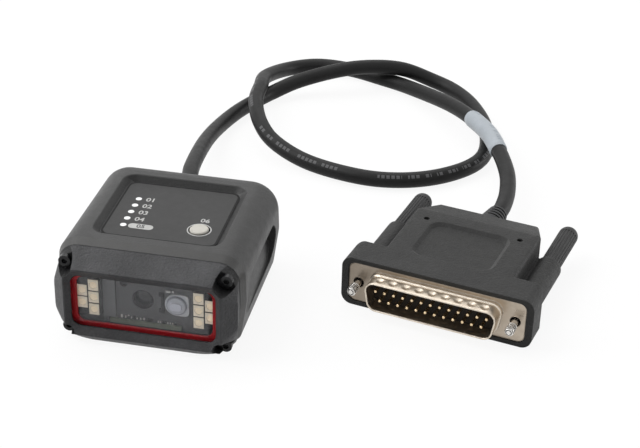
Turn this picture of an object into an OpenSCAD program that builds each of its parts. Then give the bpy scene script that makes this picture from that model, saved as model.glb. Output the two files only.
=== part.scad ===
// Fixed-mount barcode reader: a small moulded housing with a window at its front,
// status lights and a button on top, and a lead that ends in a 25-way plug.
// The origin is under the middle of the housing, and the window faces -Y.

/* [Housing] */
// Width across the sides at their widest
body_w = 53.7; // [53.2:0.1:60]
// Height of the housing
body_h = 28; // [27.5:0.5:34]
// Length from the rear wall to the lip round the window
body_l = 56.5; // [55:0.5:70]
// Length of the bezel ahead of the housing's open end
bezel_l = 7.5; // [7:0.1:9]
// Radius of the long upper edges
top_r = 8.5; // [7.5:0.5:11]
// Radius of those edges at the open end
top_front_r = 7; // [6.5:0.5:8]
// Radius of the long lower edges
foot_r = 3.2; // [2.8:0.1:4]
// How far the lower edges draw in from the widest part
foot_in = 1.4; // [0.8:0.1:1.6]
// Rounding round the rear wall
rear_r = 6; // [3:0.5:7]
// Length of the chamfered rim round the open end
rim_l = 3; // [2:0.1:4]
// Depth of that chamfer
rim_in = 1.1; // [0.9:0.1:1.3]
// Thickness of the floor
floor_t = 2.4; // [1.8:0.1:2.6]
// Thickness of the roof under the label
roof_t = 2; // [1.5:0.1:2.6]
// Thickness of the rear wall
rear_t = 3; // [2:0.1:4]
// Inside width
inner_w = 41.4; // [40.4:0.2:42]
// Depth of the scooped recess in each side
scoop_deep = 3.6; // [2.5:0.1:4.4]
// Length of that recess
scoop_l = 35; // [26:0.5:36]
// Height of the recess's ledge
scoop_foot = 7; // [5:0.1:8]
// Height of the recess's upper edge
scoop_top = 19.2; // [16:0.1:20]

/* [Top panel] */
// Width of the label
label_w = 33.4; // [33:0.1:36]
// Length of the label
label_l = 31; // [29:0.1:33]
// Thickness of the label
label_t = 0.3; // [0.2:0.05:0.5]
// Radius of the label's corners
label_r = 2.8; // [1.5:0.1:4]
// Gap round the label
label_gap = 0.35; // [0.2:0.05:0.5]
// Depth of the label's recess
label_deep = 1.8; // [1.2:0.1:2.2]
// Run of that recess's sloping walls
label_run = 1.7; // [0.8:0.1:2]
// Middle of the label, measured from the housing's middle
label_y = 2.6; // [1:0.1:4]
// Number of status lights
light_count = 5; // [3:1:5]
// Distance between the status lights
light_pitch = 3.77; // [3.2:0.01:4.2]
// Diameter of each light pipe
light_d = 1.8; // [1.4:0.1:2.2]
// Diameter of the button's cap
button_d = 5.4; // [4.6:0.1:6]
// Height of the cap above the label
button_up = 0.5; // [0.4:0.05:0.8]
// Gap round the cap
button_gap = 0.3; // [0.3:0.05:0.5]

/* [Window] */
// Width of the window's clear opening
window_w = 40.6; // [40.2:0.1:41.4]
// Height of the window's clear opening
window_h = 15.8; // [15:0.1:16.4]
// Height of the window's middle
window_z = 12.9; // [12.6:0.1:13.4]
// Width of the lip at the sides of the opening
lip_side = 2; // [1.6:0.1:2.2]
// Width of the lip above the opening
lip_top = 2.7; // [2.2:0.1:3]
// Width of the lip below the opening
lip_foot = 2.6; // [2.2:0.1:2.8]
// How far the bezel's flanks bulge past a straight taper
flank_out = 2.2; // [0.8:0.1:2.4]
// Depth of the pane behind the lip
lip_l = 1.25; // [0.8:0.05:1.6]
// Thickness of the pane
pane_t = 1.4; // [1:0.1:1.8]
// How far the pane reaches behind the lip
pane_lap = 0.9; // [0.6:0.1:1]
// Depth of the red ring behind the pane
ring_l = 0.5; // [0.4:0.1:0.8]
// How far the ring shows inside the sides of the opening
ring_side = 1.1; // [0.8:0.1:1.3]
// How far the ring shows inside the top and foot of the opening
ring_foot = 0.6; // [0.3:0.1:0.8]
// Diameter of the bezel screws
bezel_screw_d = 2; // [1.6:0.1:2.2]
// Diameter of the bezel screws' heads
bezel_head_d = 3.5; // [3.2:0.1:3.6]
// Diameter of the wells round those heads
well_d = 5.9; // [5.4:0.1:6]
// Distance of the upper bezel screws from the widest part of the sides
screw_side = 4.1; // [4:0.05:4.3]
// Distance of the lower bezel screws from the widest part of the sides
screw_foot_side = 4.35; // [4.25:0.05:4.5]
// Distance of the upper bezel screws from the top
screw_top = 4.7; // [4.5:0.1:5]
// Height of the lower bezel screws
screw_foot = 2.4; // [2.3:0.1:2.6]

/* [Optics] */
// Height of the lamps and lenses
optic_z = 12.8; // [12.4:0.1:13.4]
// Distance between the lamps in a column
lamp_pitch = 3.9; // [3.75:0.05:4.2]
// Width of each lamp
lamp_w = 2.9; // [2.6:0.1:3.1]
// Height of each lamp
lamp_h = 3.5; // [3.2:0.1:3.7]
// Thickness of each lamp
lamp_t = 1; // [0.6:0.1:1.2]
// Distance of the inner lamp column from the middle
lamp_x = 14.9; // [14.4:0.1:15.2]
// Step out to the outer lamp column
lamp_step = 3.3; // [3.2:0.05:3.5]
// Thickness of the small circuit boards
board_t = 1; // [0.8:0.1:1.2]
// Outside diameter of the lens barrel
barrel_d = 6.2; // [5.8:0.1:6.6]
// Diameter of the lens
lens_d = 4.8; // [4.2:0.1:5]
// Place of the lens across the window
lens_x = -1.4; // [-2:0.1:-1]
// Height of the aiming lens
aimer_h = 6.8; // [6:0.1:7.2]
// Place of the aiming lens across the window
aimer_x = 8.4; // [8:0.1:8.8]

/* [Mounting] */
// Distance between the mounting inserts across the housing
insert_dx = 30; // [26:1:32]
// Distance between the mounting inserts along the housing
insert_dy = 20; // [18:1:22]
// Thread diameter in the inserts, at its crests
insert_bore = 2.5; // [2:0.1:3.3]
// Outside diameter of the inserts
insert_d = 4.2; // [4:0.1:5]
// Length of the inserts
insert_l = 3.6; // [3:0.1:3.7]

/* [Lead] */
// Diameter of the cable
cable_d = 5.2; // [4.8:0.1:5.4]
// Place of the cable's exit across the rear wall
exit_x = -7; // [-9:0.5:-5]
// Height of the cable's exit
exit_z = 13; // [12:0.5:14]
// Length of the bushing behind the rear wall
bushing_l = 12; // [10:0.5:13]
// Thickness of the white sleeve on the cable
sleeve_t = 0.35; // [0.2:0.05:0.6]

/* [Plug] */
// Width of the plug's flange
flange_w = 53.04; // [52.6:0.01:53.4]
// Height of the plug's flange
flange_h = 12.55; // [12.2:0.01:12.8]
// Distance between the jackscrews
jack_pitch = 47.04; // [46.6:0.01:47.4]
// Thread diameter of the jackscrews
jack_d = 2.7; // [2.6:0.01:2.9]
// Diameter of the jackscrews' necks
neck_d = 2; // [1.8:0.1:2.2]
// Diameter of the flange's holes for them
jack_hole = 3.2; // [3.1:0.05:3.4]
// Distance between neighbouring pins
pin_pitch = 2.76; // [2.7:0.01:2.8]
// Distance between the two rows of pins
pin_rows = 2.84; // [2.6:0.01:3]
// Diameter of each pin
pin_d = 1; // [0.9:0.01:1.05]
// Inside width of the shell
shell_w = 38.96; // [38.6:0.01:39.2]
// Inside height of the shell
shell_h = 8.36; // [8.1:0.01:8.6]
// Thickness of the shell's metal
shell_t = 0.4; // [0.3:0.05:0.5]
// Reach of the shell ahead of the flange
shell_l = 5.8; // [5.2:0.1:6.2]
// Width of the hood behind the flange
hood_w = 39; // [38:0.5:42]
// Height of the hood
hood_h = 15.5; // [15:0.1:17]
// Length of the hood
hood_l = 46; // [44:0.5:50]
// Diameter of the screw barrels beside the hood
collar_d = 7.6; // [7.2:0.1:8.2]
// Length of those barrels, from the flange
collar_l = 31.5; // [29:0.5:33]
// Diameter of the thumbscrew knobs
knob_d = 6; // [5.6:0.1:6.6]
// Length of the thumbscrew knobs
knob_l = 23; // [20:0.5:27]
// Number of flutes round each knob
flute_count = 22; // [16:1:24]

/* [Hidden] */
$fn = 48;

// Common clearances: a snug seat, a running fit and a loose pocket
seat = 0.02;
run_fit = 0.08;
loose = 0.15;
// Thickness of the slices that a blended form is drawn over
slice = 0.1;
// Draft of the housing's sides, from the rear to the mouth
draft = 0.06;

// Planes of the reader, from the window back
lamp_back = 1.28;
front_y = -body_l / 2;
rear_y = body_l / 2;
mouth_y = front_y + bezel_l;
pane_y = front_y + lip_l;
ring_y = pane_y + pane_t;
lamp_y = ring_y + lamp_back;
lamp_board_y = lamp_y + lamp_t;
frame_y = lamp_board_y + board_t;
imager_y = mouth_y + 8.7;
pane_w = window_w + 2 * pane_lap;
pane_h = window_h + 2 * pane_lap;
pane_r = 3;
ring_r = 2.4;

// Heights of the roof and of what hangs from it
label_z = body_h - label_deep;
label_top = label_z + label_t;
roof_z = label_z - roof_t;
status_z = roof_z - 3;
light_x = -11.4;
light_y = label_y - 1.7;
button_x = 10;
button_y = label_y - 7.2;
button_travel = 0.35;
status_w = 29;
status_l = 21;
post_x = 1;
post_y = [label_y - 9, label_y + 6];

// Heights inside the floor
main_t = 1.2;
main_z = floor_t + 1.9;
main_top = main_z + main_t;
insert_y = 5;
scoop_y = 1;
tongue_x = -11;
tongue_w = 20.4;
main_screw_x = 17.2;
main_screw_y = [5, rear_y - 6.7];
pilot_d = 1.6;

// Belly of the cross-section, where the sides are widest
belly_r = 8;
belly_z = 14;
brow_in = 0.2;
function corners(top) = [
  [body_w / 2 - brow_in - top, body_h - top, top, 1],
  [body_w / 2 - belly_r, belly_z, belly_r, 0],
  [body_w / 2 - foot_in - foot_r, foot_r, foot_r, -1]];

// The optics behind the window
rail_x = 15.2;
rail_t = 3;
rail_h = 8;
imager_w = 35;
imager_h = 13;
groove_x = -9.3;
groove_h = 15;
aimer_r = 1.2;
lens_back = 1.3;
sensor_w = 3.6;

// The four bezel screws
bezel_screw_x = [body_w / 2 - screw_foot_side, body_w / 2 - screw_side];
bezel_screw_z = [screw_foot, body_h - screw_top];
bezel_head_t = 1.5;
bezel_seat_y = mouth_y - 2.1;
bezel_screw_l = 7.6;
well_floor = screw_foot - bezel_head_d / 2 - 0.1;

// The plug lies turned a little in plan, flat on its lower half
plug_x = 76.5;
plug_y = 3.5;
plug_turn = -12.4;
plug_z = hood_h / 2;
plate_t = 0.9;
back_plate_t = 0.6;
rim_front = -0.3;
rim_back = 10;
rim_w = flange_w + 4.4;
hood_wall = 1.8;
slope_y = 35;
tail_w = 32.4;
tail_h = 9.6;
hood_screw_x = hood_w / 2 - 5;
hood_screw_y = 30.4;
hood_screw_d = 1.7;
boot_l = 9;
slot_pitch = 1.9;
boot_r = 4.2;
boot_tip_r = 3.1;
boot_neck_r = 3.2;
shank_d = jack_d + 0.5;
knob_y = collar_l + 0.3;
jack_reach = 6.06;
panel_w = 25;
panel_l = 21;
panel_y = 20;
panel_deep = 1;
panel_run = 1.2;
dimple_r = 3.4;
dimple_deep = 0.27;
dimple_pitch = 3.9;
step_l = 1.3;
pin_reach = 4.96;
body_back = 5;

// Where the cable leaves the bushing and where it enters the boot
bushing_end = rear_y + bushing_l;
boot_end = hood_l + boot_l;
function plug_point(p) = [
  plug_x + p[0] * cos(plug_turn) - p[1] * sin(plug_turn),
  plug_y + p[0] * sin(plug_turn) + p[1] * cos(plug_turn),
  plug_z + p[2]];

// Route of the cable over the floor: one turn that passes over itself three times
route = concat(
  [[exit_x, bushing_end, exit_z]],
  [[-7, 46, 13], [-9, 56.5, 12], [-11, 74.5, 9], [-12, 90.5, 6], [-11.4, 105.5, 3.5],
   [-9, 117, 2.7], [-5.5, 125.5, 2.7], [-0.5, 134.5, 3], [8.1, 141.4, 5.6], [21.1, 147, 8.6],
   [32, 152.4, 8.9], [43.3, 156.2, 7.6], [54.4, 157, 4], [63.4, 152.5, 2.7], [71.2, 141.5, 2.7],
   [77.5, 125.3, 2.7], [79.4, 108, 2.7], [75.8, 96.4, 2.7], [66.1, 86.5, 2.7], [53.8, 81, 2.7],
   [40.2, 80.5, 2.7], [22.9, 85.5, 3], [10.1, 92.5, 5.2], [3, 101, 7.6], [-1.7, 114, 9],
   [-3, 127.2, 8.8], [-4, 139.6, 6.6], [0.6, 154.8, 3.3], [10.5, 162, 2.7], [23.1, 161.5, 2.7],
   [36.3, 156.5, 2.7], [48.1, 149.5, 3.4], [65.6, 131, 7], [78.4, 112, 8.9], [84.5, 98, 8.6],
   [88.6, 84.2, 8.1], [89.9, 72.2, 7.8]],
  [plug_point([0, boot_end + 5.5, 0]), plug_point([0, boot_end, 0])]);
sides = 10;
steps = 2;
last = len(route) - 1;

// A smooth curve through the route's points
function blend(a, b, c, d, t) =
  0.5 * (2 * b + (c - a) * t + (2 * a - 5 * b + 4 * c - d) * t * t
  + (3 * b - a - 3 * c + d) * t * t * t);
function curve_at(i, t) =
  blend(route[max(i - 1, 0)], route[i], route[i + 1], route[min(i + 2, last)], t);
cable_path = concat([for (i = [0:last - 1]) for (k = [0:steps - 1]) curve_at(i, k / steps)],
  [route[last]]);
cable_end = len(cable_path) - 1;
function unit(v) = v / norm(v);
function heading(i) =
  i == 0 ? [0, 1, 0]
  : i == cable_end ? [sin(plug_turn), -cos(plug_turn), 0]
  : unit(cable_path[i + 1] - cable_path[i - 1]);
function across(i) = unit(cross(heading(i), [0, 0, 1]));
function ring(i, r) = [for (k = [0:sides - 1])
  cable_path[i] + r * cos(360 * k / sides) * across(i)
  + r * sin(360 * k / sides) * cross(across(i), heading(i))];
function wall_faces(rings, base, inward) = [for (i = [0:rings - 2]) for (k = [0:sides - 1])
  let (a = base + i * sides + k, b = base + i * sides + (k + 1) % sides)
  inward ? [a, a + sides, b + sides, b] : [a, b, b + sides, a + sides]];

// Rounded shapes drawn with true arcs
module round_box(w, h, r) {
  square([w - 2 * r, h], center = true);
  square([w, h - 2 * r], center = true);
  for (x = [-1, 1], y = [-1, 1]) translate([x * (w / 2 - r), y * (h / 2 - r)]) circle(r);
}
module round_polygon(centres, r) {
  count = len(centres);
  polygon([for (i = [0:count - 1])
    let (a = centres[i], b = centres[(i + 1) % count], n = unit([b[1] - a[1], a[0] - b[0]]))
    each [a + r * n, b + r * n]]);
  for (c = centres) translate(c) circle(r);
}
// Stands a flat outline up so that it runs back along +Y
module back_from(y, l) { translate([0, y, 0]) rotate([90, 0, 0]) translate([0, 0, -l]) linear_extrude(l) children(); }
// A rod along +Y
module rod(x, y, z, r, l) { translate([x, y, z]) rotate([-90, 0, 0]) cylinder(r = r, h = l); }

// One thin slice of the housing's cross-section, drawn in by an amount
module section(y, inset, top) {
  for (c = corners(top), s = [-1, 1]) {
    r = max(c[2] - inset, 0.4);
    slip = inset - c[2] + r;
    rod(s * (c[0] - slip), y, c[1] - c[3] * slip, r, slice, $fn = 48);
  }
}
// Four corner discs of a rounded rectangle, as a thin slice
module corner_slice(y, w, h, z, r) {
  for (x = [-1, 1], k = [-1, 1]) rod(x * (w / 2 - r), y, z + k * (h / 2 - r), r, slice, $fn = 32);
}

// The outside of the housing
module housing_form() {
  hull() {
    section(mouth_y, rim_in, top_front_r);
    section(mouth_y + rim_l, draft, top_front_r);
    for (k = [0:7]) {
      a = k * 90 / 7;
      section(rear_y - rear_r * (1 - sin(a)) - slice, rear_r * (1 - cos(a)), top_r);
    }
  }
}
// The recess for the label, with sloping walls
module label_recess() {
  hull() for (k = [0, 1]) {
    w = label_w + 2 * label_gap + k * 2 * label_run;
    l = label_l + 2 * label_gap + k * 2 * label_run;
    r = label_r + label_gap + k * label_run / 2;
    for (x = [-1, 1], y = [-1, 1])
      translate([x * (w / 2 - r), label_y + y * (l / 2 - r), label_z + k * label_deep])
        cylinder(r = r, h = 0.1, $fn = 40);
  }
}
// A finger recess in each side, with rounded ends
module side_scoop() {
  for (s = [0, 1]) mirror([s, 0, 0])
    translate([body_w / 2 - scoop_deep, scoop_y, (scoop_top + scoop_foot) / 2]) rotate([90, 0, 90])
      linear_extrude(8) round_box(scoop_l, scoop_top - scoop_foot, 4.5);
}
// Places of the repeated pieces
module at_bezel_screws() {
  for (x = [-1, 1], k = [0, 1]) translate([x * bezel_screw_x[k], 0, bezel_screw_z[k]]) children();
}
module at_inserts() {
  for (x = [-1, 1], y = [-1, 1]) translate([x * insert_dx / 2, insert_y + y * insert_dy / 2, 0]) children();
}
module at_main_screws() { for (x = [-1, 1], y = main_screw_y) translate([x * main_screw_x, y, 0]) children(); }
module at_posts() { for (y = post_y) translate([post_x, y, 0]) children(); }
module at_lights() {
  for (i = [0:light_count - 1])
    translate([light_x, light_y + (i - (light_count - 1) / 2) * light_pitch, 0]) children();
}

module housing() {
  inner_h = roof_z - floor_t;
  color([0.30, 0.30, 0.31]) difference() {
    union() {
      difference() {
        housing_form();
        translate([0, 0, floor_t + inner_h / 2])
          back_from(mouth_y - 1, rear_y - rear_t - mouth_y + 1) round_box(inner_w, inner_h, 2);
        label_recess();
        side_scoop();
      }
      at_inserts() cylinder(d = insert_d + 2.6, h = insert_l + 0.5);
      at_main_screws() cylinder(d = 4.8, h = main_z);
      at_posts() translate([0, 0, status_z]) cylinder(d = 4.4, h = roof_z - status_z + 0.4);
    }
    at_inserts() translate([0, 0, -1]) cylinder(d = insert_d + 2 * seat, h = insert_l + 1);
    at_main_screws() translate([0, 0, 1]) cylinder(d = pilot_d, h = main_z);
    at_posts() translate([0, 0, status_z - 1]) cylinder(d = pilot_d, h = 4.4);
    at_bezel_screws() rod(0, mouth_y - 1, 0, bezel_screw_d / 2 + seat, bezel_screw_l);
    at_lights() translate([0, 0, roof_z - 1]) cylinder(d = light_d + run_fit, h = roof_t + 2);
    translate([button_x, button_y, roof_z - 1]) cylinder(d = button_d + 2 * button_gap, h = roof_t + 2);
    rod(exit_x, rear_y - rear_t - 1, exit_z, 4 + seat, rear_t + 2);
  }
}

module front_bezel() {
  lip_out_w = window_w + 2 * lip_side;
  lip_out_h = window_h + lip_top + lip_foot;
  lip_z = window_z + (lip_top - lip_foot) / 2;
  color([0.27, 0.28, 0.30]) difference() {
    hull() {
      section(mouth_y - slice, rim_in + 0.1, top_front_r);
      corner_slice(front_y, lip_out_w, lip_out_h, lip_z, 4);
      corner_slice(front_y + bezel_l / 2, lip_out_w + 2 * flank_out + 3, lip_out_h - 2, lip_z, 6);
      for (x = [-1, 1]) {
        rod(x * (body_w / 2 - 7.3), front_y + 2.05, 3.25, 3.2, slice, $fn = 32);
        rod(x * (body_w / 2 - foot_in - foot_r), mouth_y - slice, foot_r, foot_r - 0.6, slice, $fn = 32);
      }
    }
    translate([0, 0, window_z]) back_from(pane_y, bezel_l) round_box(pane_w + run_fit, pane_h + run_fit, pane_r);
    hull() {
      corner_slice(front_y - slice, lip_out_w - 0.8, lip_out_h - 0.8, lip_z, 3.4);
      corner_slice(pane_y, window_w, window_h, window_z, 2.6);
    }
    difference() {
      at_bezel_screws() rod(0, front_y - 1, 0, well_d / 2, bezel_seat_y - front_y + 1);
      translate([-body_w, front_y - 2, well_floor - 10]) cube([2 * body_w, bezel_l + 4, 10]);
    }
    at_bezel_screws() rod(0, bezel_seat_y - 1, 0, bezel_screw_d / 2 + run_fit, 6);
  }
}

module bezel_screws() {
  color([0.10, 0.10, 0.11]) at_bezel_screws() difference() {
    union() {
      rod(0, bezel_seat_y - bezel_head_t, 0, bezel_head_d / 2, bezel_head_t);
      rod(0, bezel_seat_y - 0.1, 0, bezel_screw_d / 2, bezel_screw_l - 1);
    }
    rod(0, bezel_seat_y - bezel_head_t - 0.1, 0, bezel_head_d / 4, 1, $fn = 6);
  }
}

module window_pane() {
  color([0.6, 0.65, 0.7, 0.3]) translate([0, 0, window_z])
    back_from(pane_y, pane_t) round_box(pane_w, pane_h, pane_r);
}

module window_ring() {
  color([0.60, 0.08, 0.10]) translate([0, 0, window_z]) back_from(ring_y, ring_l) difference() {
    round_box(pane_w, pane_h, pane_r);
    round_box(window_w - 2 * ring_side, window_h - 2 * ring_foot, ring_r);
  }
}

module overlay_label() {
  color([0.33, 0.33, 0.34]) difference() {
    translate([0, label_y, label_z]) linear_extrude(label_t) round_box(label_w, label_l, label_r);
    at_lights() translate([0, 0, label_z - 1]) cylinder(d = light_d + run_fit, h = 3);
    translate([button_x, button_y, label_z - 1]) cylinder(d = button_d + 2 * button_gap, h = 3);
  }
}

// One moulding: a rail under the roof with a pipe for each light
module status_light_pipe() {
  rail = (light_count - 1) * light_pitch + light_d + 1.2;
  color([0.85, 0.86, 0.84]) {
    translate([light_x, light_y, roof_z - 1.4]) linear_extrude(1.4) round_box(light_d + 1.2, rail, 1.2);
    at_lights() translate([0, 0, roof_z - 0.2]) cylinder(d = light_d, h = label_top - roof_z + 0.2);
  }
}

module status_lamps() {
  color([0.92, 0.90, 0.80]) at_lights() translate([-0.8, -0.4, status_z]) cube([1.6, 0.8, 0.9]);
}

module status_board() {
  color([0.12, 0.36, 0.22]) difference() {
    translate([0, label_y - 1.5, status_z - board_t]) linear_extrude(board_t) round_box(status_w, status_l, 1);
    at_posts() translate([0, 0, status_z - 3]) cylinder(d = pilot_d + 0.7, h = 6);
  }
}

module button_switch() {
  color([0.16, 0.16, 0.17]) translate([button_x, button_y, status_z]) {
    translate([-2.5, -2.5, 0]) cube([5, 5, 0.5]);
    cylinder(d = 2.8, h = 0.8);
  }
}

// The cap stands on the switch, held in by its skirt under the roof
module tune_button() {
  color([0.80, 0.77, 0.72]) translate([button_x, button_y, 0]) {
    translate([0, 0, roof_z - 1.1]) cylinder(d = button_d + 2.4, h = 0.8);
    translate([0, 0, roof_z - 1.5]) cylinder(d = 2.4, h = 0.9);
    translate([0, 0, roof_z - 0.6]) cylinder(d = button_d, h = label_top + button_up - roof_z + 0.3);
    translate([0, 0, label_top + button_up - 0.3]) cylinder(d1 = button_d, d2 = button_d - 0.6, h = 0.3);
  }
}

module main_board() {
  front_tongue = mouth_y - 1.9;
  board_front = mouth_y + 11.25;
  color([0.30, 0.33, 0.20]) difference() {
    translate([0, 0, main_z]) linear_extrude(main_t) {
      back = rear_y - rear_t - 1.6;
      translate([-inner_w / 2 + 1, board_front]) square([inner_w - 2, back - board_front]);
      translate([tongue_x, front_tongue]) square([tongue_w, board_front - front_tongue + 1]);
    }
    at_main_screws() translate([0, 0, main_z - 1]) cylinder(d = pilot_d + 0.7, h = 4);
  }
}

module cable_header() {
  color([0.88, 0.86, 0.80]) translate([exit_x - 6, rear_y - 14, main_top]) difference() {
    cube([12, 5, 5]);
    translate([0.8, 1.2, 1.2]) cube([10.4, 5, 2.8]);
  }
}

// A pan-head screw that points up, with its head's seat at zero
module pan_screw(l) {
  difference() {
    union() {
      translate([0, 0, -1]) cylinder(d1 = 2.8, d2 = 3.4, h = 1);
      translate([0, 0, -0.1]) cylinder(d = pilot_d - 2 * seat, h = l);
    }
    translate([-1, -0.2, -1.1]) cube([2, 0.4, 0.6]);
    translate([-0.2, -1, -1.1]) cube([0.4, 2, 0.6]);
  }
}

module board_screws() {
  color("silver") {
    at_main_screws() translate([0, 0, main_top]) rotate([180, 0, 0]) pan_screw(4);
    at_posts() translate([0, 0, status_z - board_t]) pan_screw(4);
  }
}

module mounting_inserts() {
  color([0.78, 0.62, 0.32]) at_inserts() difference() {
    cylinder(d = insert_d, h = insert_l);
    translate([0, 0, -1]) cylinder(d = insert_bore, h = insert_l + 2);
  }
}

// Both lamp boards are cut from one outline
module lamp_board(s) {
  inner = lamp_x - lamp_w / 2 - 0.5;
  outer = lamp_x + lamp_step + lamp_w / 2 + 0.5;
  high = 2 * lamp_pitch + lamp_h + 1;
  color([0.20, 0.22, 0.24]) translate([s * (inner + outer) / 2, 0, optic_z])
    back_from(lamp_board_y, board_t) round_box(outer - inner, high, 0.6);
}
module lamp_board_left() { lamp_board(-1); }
module lamp_board_right() { lamp_board(1); }

module lamp(x, z) {
  translate([x, lamp_y, optic_z + z]) difference() {
    translate([-lamp_w / 2, 0, -lamp_h / 2]) cube([lamp_w, lamp_t, lamp_h]);
    rod(0, -0.1, 0, lamp_w * 0.38, 0.35);
  }
}
module lamps(s) {
  color([0.86, 0.82, 0.70]) {
    for (k = [-1:1]) lamp(s * lamp_x, k * lamp_pitch);
    for (k = [-1, 1]) lamp(s * (lamp_x + lamp_step), k * lamp_pitch / 2);
  }
}
module lamps_left() { lamps(-1); }
module lamps_right() { lamps(1); }

// Flat outline of the aiming lens: round on one side, square on the other
module aimer_outline(grow) {
  r = aimer_h / 2 + grow;
  circle(r);
  translate([(r - aimer_r) / 2, 0]) round_box(r + aimer_r, 2 * r, aimer_r);
}

// Plate across the mouth with the lens openings, and two rails to the imager board
module engine_frame() {
  rail_l = imager_y - mouth_y;
  color([0.07, 0.07, 0.08]) difference() {
    union() {
      translate([0, 0, window_z]) back_from(frame_y, mouth_y - frame_y) round_box(pane_w - run_fit, pane_h - run_fit, pane_r);
      for (s = [-1, 1]) translate([s * rail_x - rail_t / 2, mouth_y - 0.1, optic_z - rail_h / 2])
        cube([rail_t, rail_l + 0.1, rail_h]);
    }
    rod(lens_x, frame_y - 1, optic_z, barrel_d / 2 + seat, 5);
    translate([aimer_x, 0, optic_z]) back_from(frame_y - 1, 5) aimer_outline(seat);
    translate([tongue_x - 0.4, frame_y - 1, main_z - 4]) cube([tongue_w + 0.8, 5, main_t + 4.3]);
    for (s = [-1, 1]) rod(s * rail_x, imager_y - 5, optic_z, pilot_d / 2, 6);
    translate([groove_x, frame_y - 1, optic_z - groove_h / 2]) cube([0.4, 1.6, groove_h]);
    rod(lens_x - 5.4, frame_y - 1, optic_z + 4.6, 1.1, 1.9);
  }
}

module imager_board() {
  color([0.12, 0.36, 0.22]) difference() {
    translate([0, 0, optic_z]) back_from(imager_y, board_t) round_box(imager_w, imager_h, 1);
    for (s = [-1, 1]) rod(s * rail_x, imager_y - 1, optic_z, pilot_d / 2 + 0.3, 4);
  }
}

module image_sensor() {
  color([0.15, 0.18, 0.22]) translate([lens_x - sensor_w / 2, imager_y - 0.7, optic_z - sensor_w / 2])
    cube([sensor_w, 0.7, sensor_w]);
}

module lens_barrel() {
  start = frame_y + 0.2;
  color([0.06, 0.06, 0.07]) difference() {
    rod(lens_x, start, optic_z, barrel_d / 2, imager_y - start);
    rod(lens_x, start - 1, optic_z, lens_d / 2 + 0.3, imager_y - start + 2);
  }
}

module lens_glass() {
  start = frame_y + lens_back;
  color([0.20, 0.24, 0.30, 0.8]) intersection() {
    rod(lens_x, start, optic_z, lens_d / 2 + 0.28, 2);
    translate([lens_x, start + 8, optic_z]) sphere(r = 8);
  }
}

module aimer_lamp() {
  color([0.90, 0.88, 0.75]) translate([aimer_x - 1.5, imager_y - 1.2, optic_z - 1.5]) cube([3, 1.2, 3]);
}

module aimer_lens() {
  start = frame_y - 0.6;
  color([0.85, 0.86, 0.84]) translate([aimer_x, 0, optic_z]) {
    back_from(start, 4) aimer_outline(0);
    intersection() {
      translate([0, start + 9, 0]) sphere(r = 10);
      rod(0, start - 2, 0, aimer_h / 2 - 0.6, 3);
    }
    back_from(start - 1.25, 1) round_box(3.2, 2.4, 0.9);
  }
}

module engine_screws() {
  color("silver") for (s = [-1, 1])
    translate([s * rail_x, imager_y + board_t, optic_z]) rotate([90, 0, 0]) pan_screw(4);
}

// A tapered bushing with a flange inside the rear wall
module cable_bushing() {
  wall_in = rear_y - rear_t;
  color([0.13, 0.13, 0.14]) translate([exit_x, 0, exit_z]) rotate([-90, 0, 0]) difference() {
    rotate_extrude() polygon([
      [0, wall_in - 1.6], [5.4, wall_in - 1.6], [5.4, wall_in], [4, wall_in], [4, rear_y],
      [5, rear_y], [5, rear_y + 2], [4.4, rear_y + 2.6], [cable_d / 2 + 0.7, bushing_end],
      [0, bushing_end]]);
    for (k = [0:3]) translate([0, 0, rear_y + 4 + k * 2]) rotate_extrude()
      translate([3.3, 0]) square([3, 0.7]);
  }
}

module cable() {
  rings = cable_end + 1;
  color([0.17, 0.17, 0.18]) polyhedron(
    points = [for (i = [0:cable_end]) each ring(i, cable_d / 2)],
    faces = concat(
      [[for (k = [sides - 1:-1:0]) k]],
      wall_faces(rings, 0, false),
      [[for (k = [0:sides - 1]) (rings - 1) * sides + k]]));
}

// A white sleeve wrapped round the cable where it passes over itself
module cable_sleeve() {
  first = cable_end - 11;
  rings = 4;
  inner = rings * sides;
  far = (rings - 1) * sides;
  color([0.93, 0.95, 0.97]) polyhedron(
    points = concat(
      [for (i = [0:rings - 1]) each ring(first + i, cable_d / 2 + 0.05 + sleeve_t)],
      [for (i = [0:rings - 1]) each ring(first + i, cable_d / 2 + 0.05)]),
    faces = concat(
      wall_faces(rings, 0, false),
      wall_faces(rings, inner, true),
      [for (k = [0:sides - 1]) let (n = (k + 1) % sides) [k, inner + k, inner + n, n]],
      [for (k = [0:sides - 1]) let (n = (k + 1) % sides) [far + n, far + inner + n, far + inner + k, far + k]]));
}

// Moves a shape from the plug's own frame, whose middle plane is at zero height
module at_plug() { translate([plug_x, plug_y, plug_z]) rotate([0, 0, plug_turn]) children(); }

// Flat outline of the plug's shell, wide side up
module d_outline(grow) {
  r = 2.4;
  lean = tan(10);
  up = shell_w / 2 - r * lean - r / cos(10);
  down = shell_w / 2 - (shell_h - r) * lean - r / cos(10);
  z = shell_h / 2 - r;
  round_polygon([[-down, -z], [down, -z], [up, z], [-up, z]], r + grow);
}

// The recess in each broad face of the hood, with sloping walls
module panel_recess(s) {
  hull() for (k = [0, 1], x = [-1, 1], y = [-1, 1]) {
    r = 4 - (1 - k) * panel_run / 2;
    w = panel_w / 2 - (1 - k) * panel_run - r;
    l = panel_l / 2 - (1 - k) * panel_run - r;
    z = hood_h / 2 - (1 - k) * panel_deep;
    translate([x * w, panel_y + y * l, s > 0 ? z : -z - 0.1]) cylinder(r = r, h = 0.1, $fn = 32);
  }
}
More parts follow.
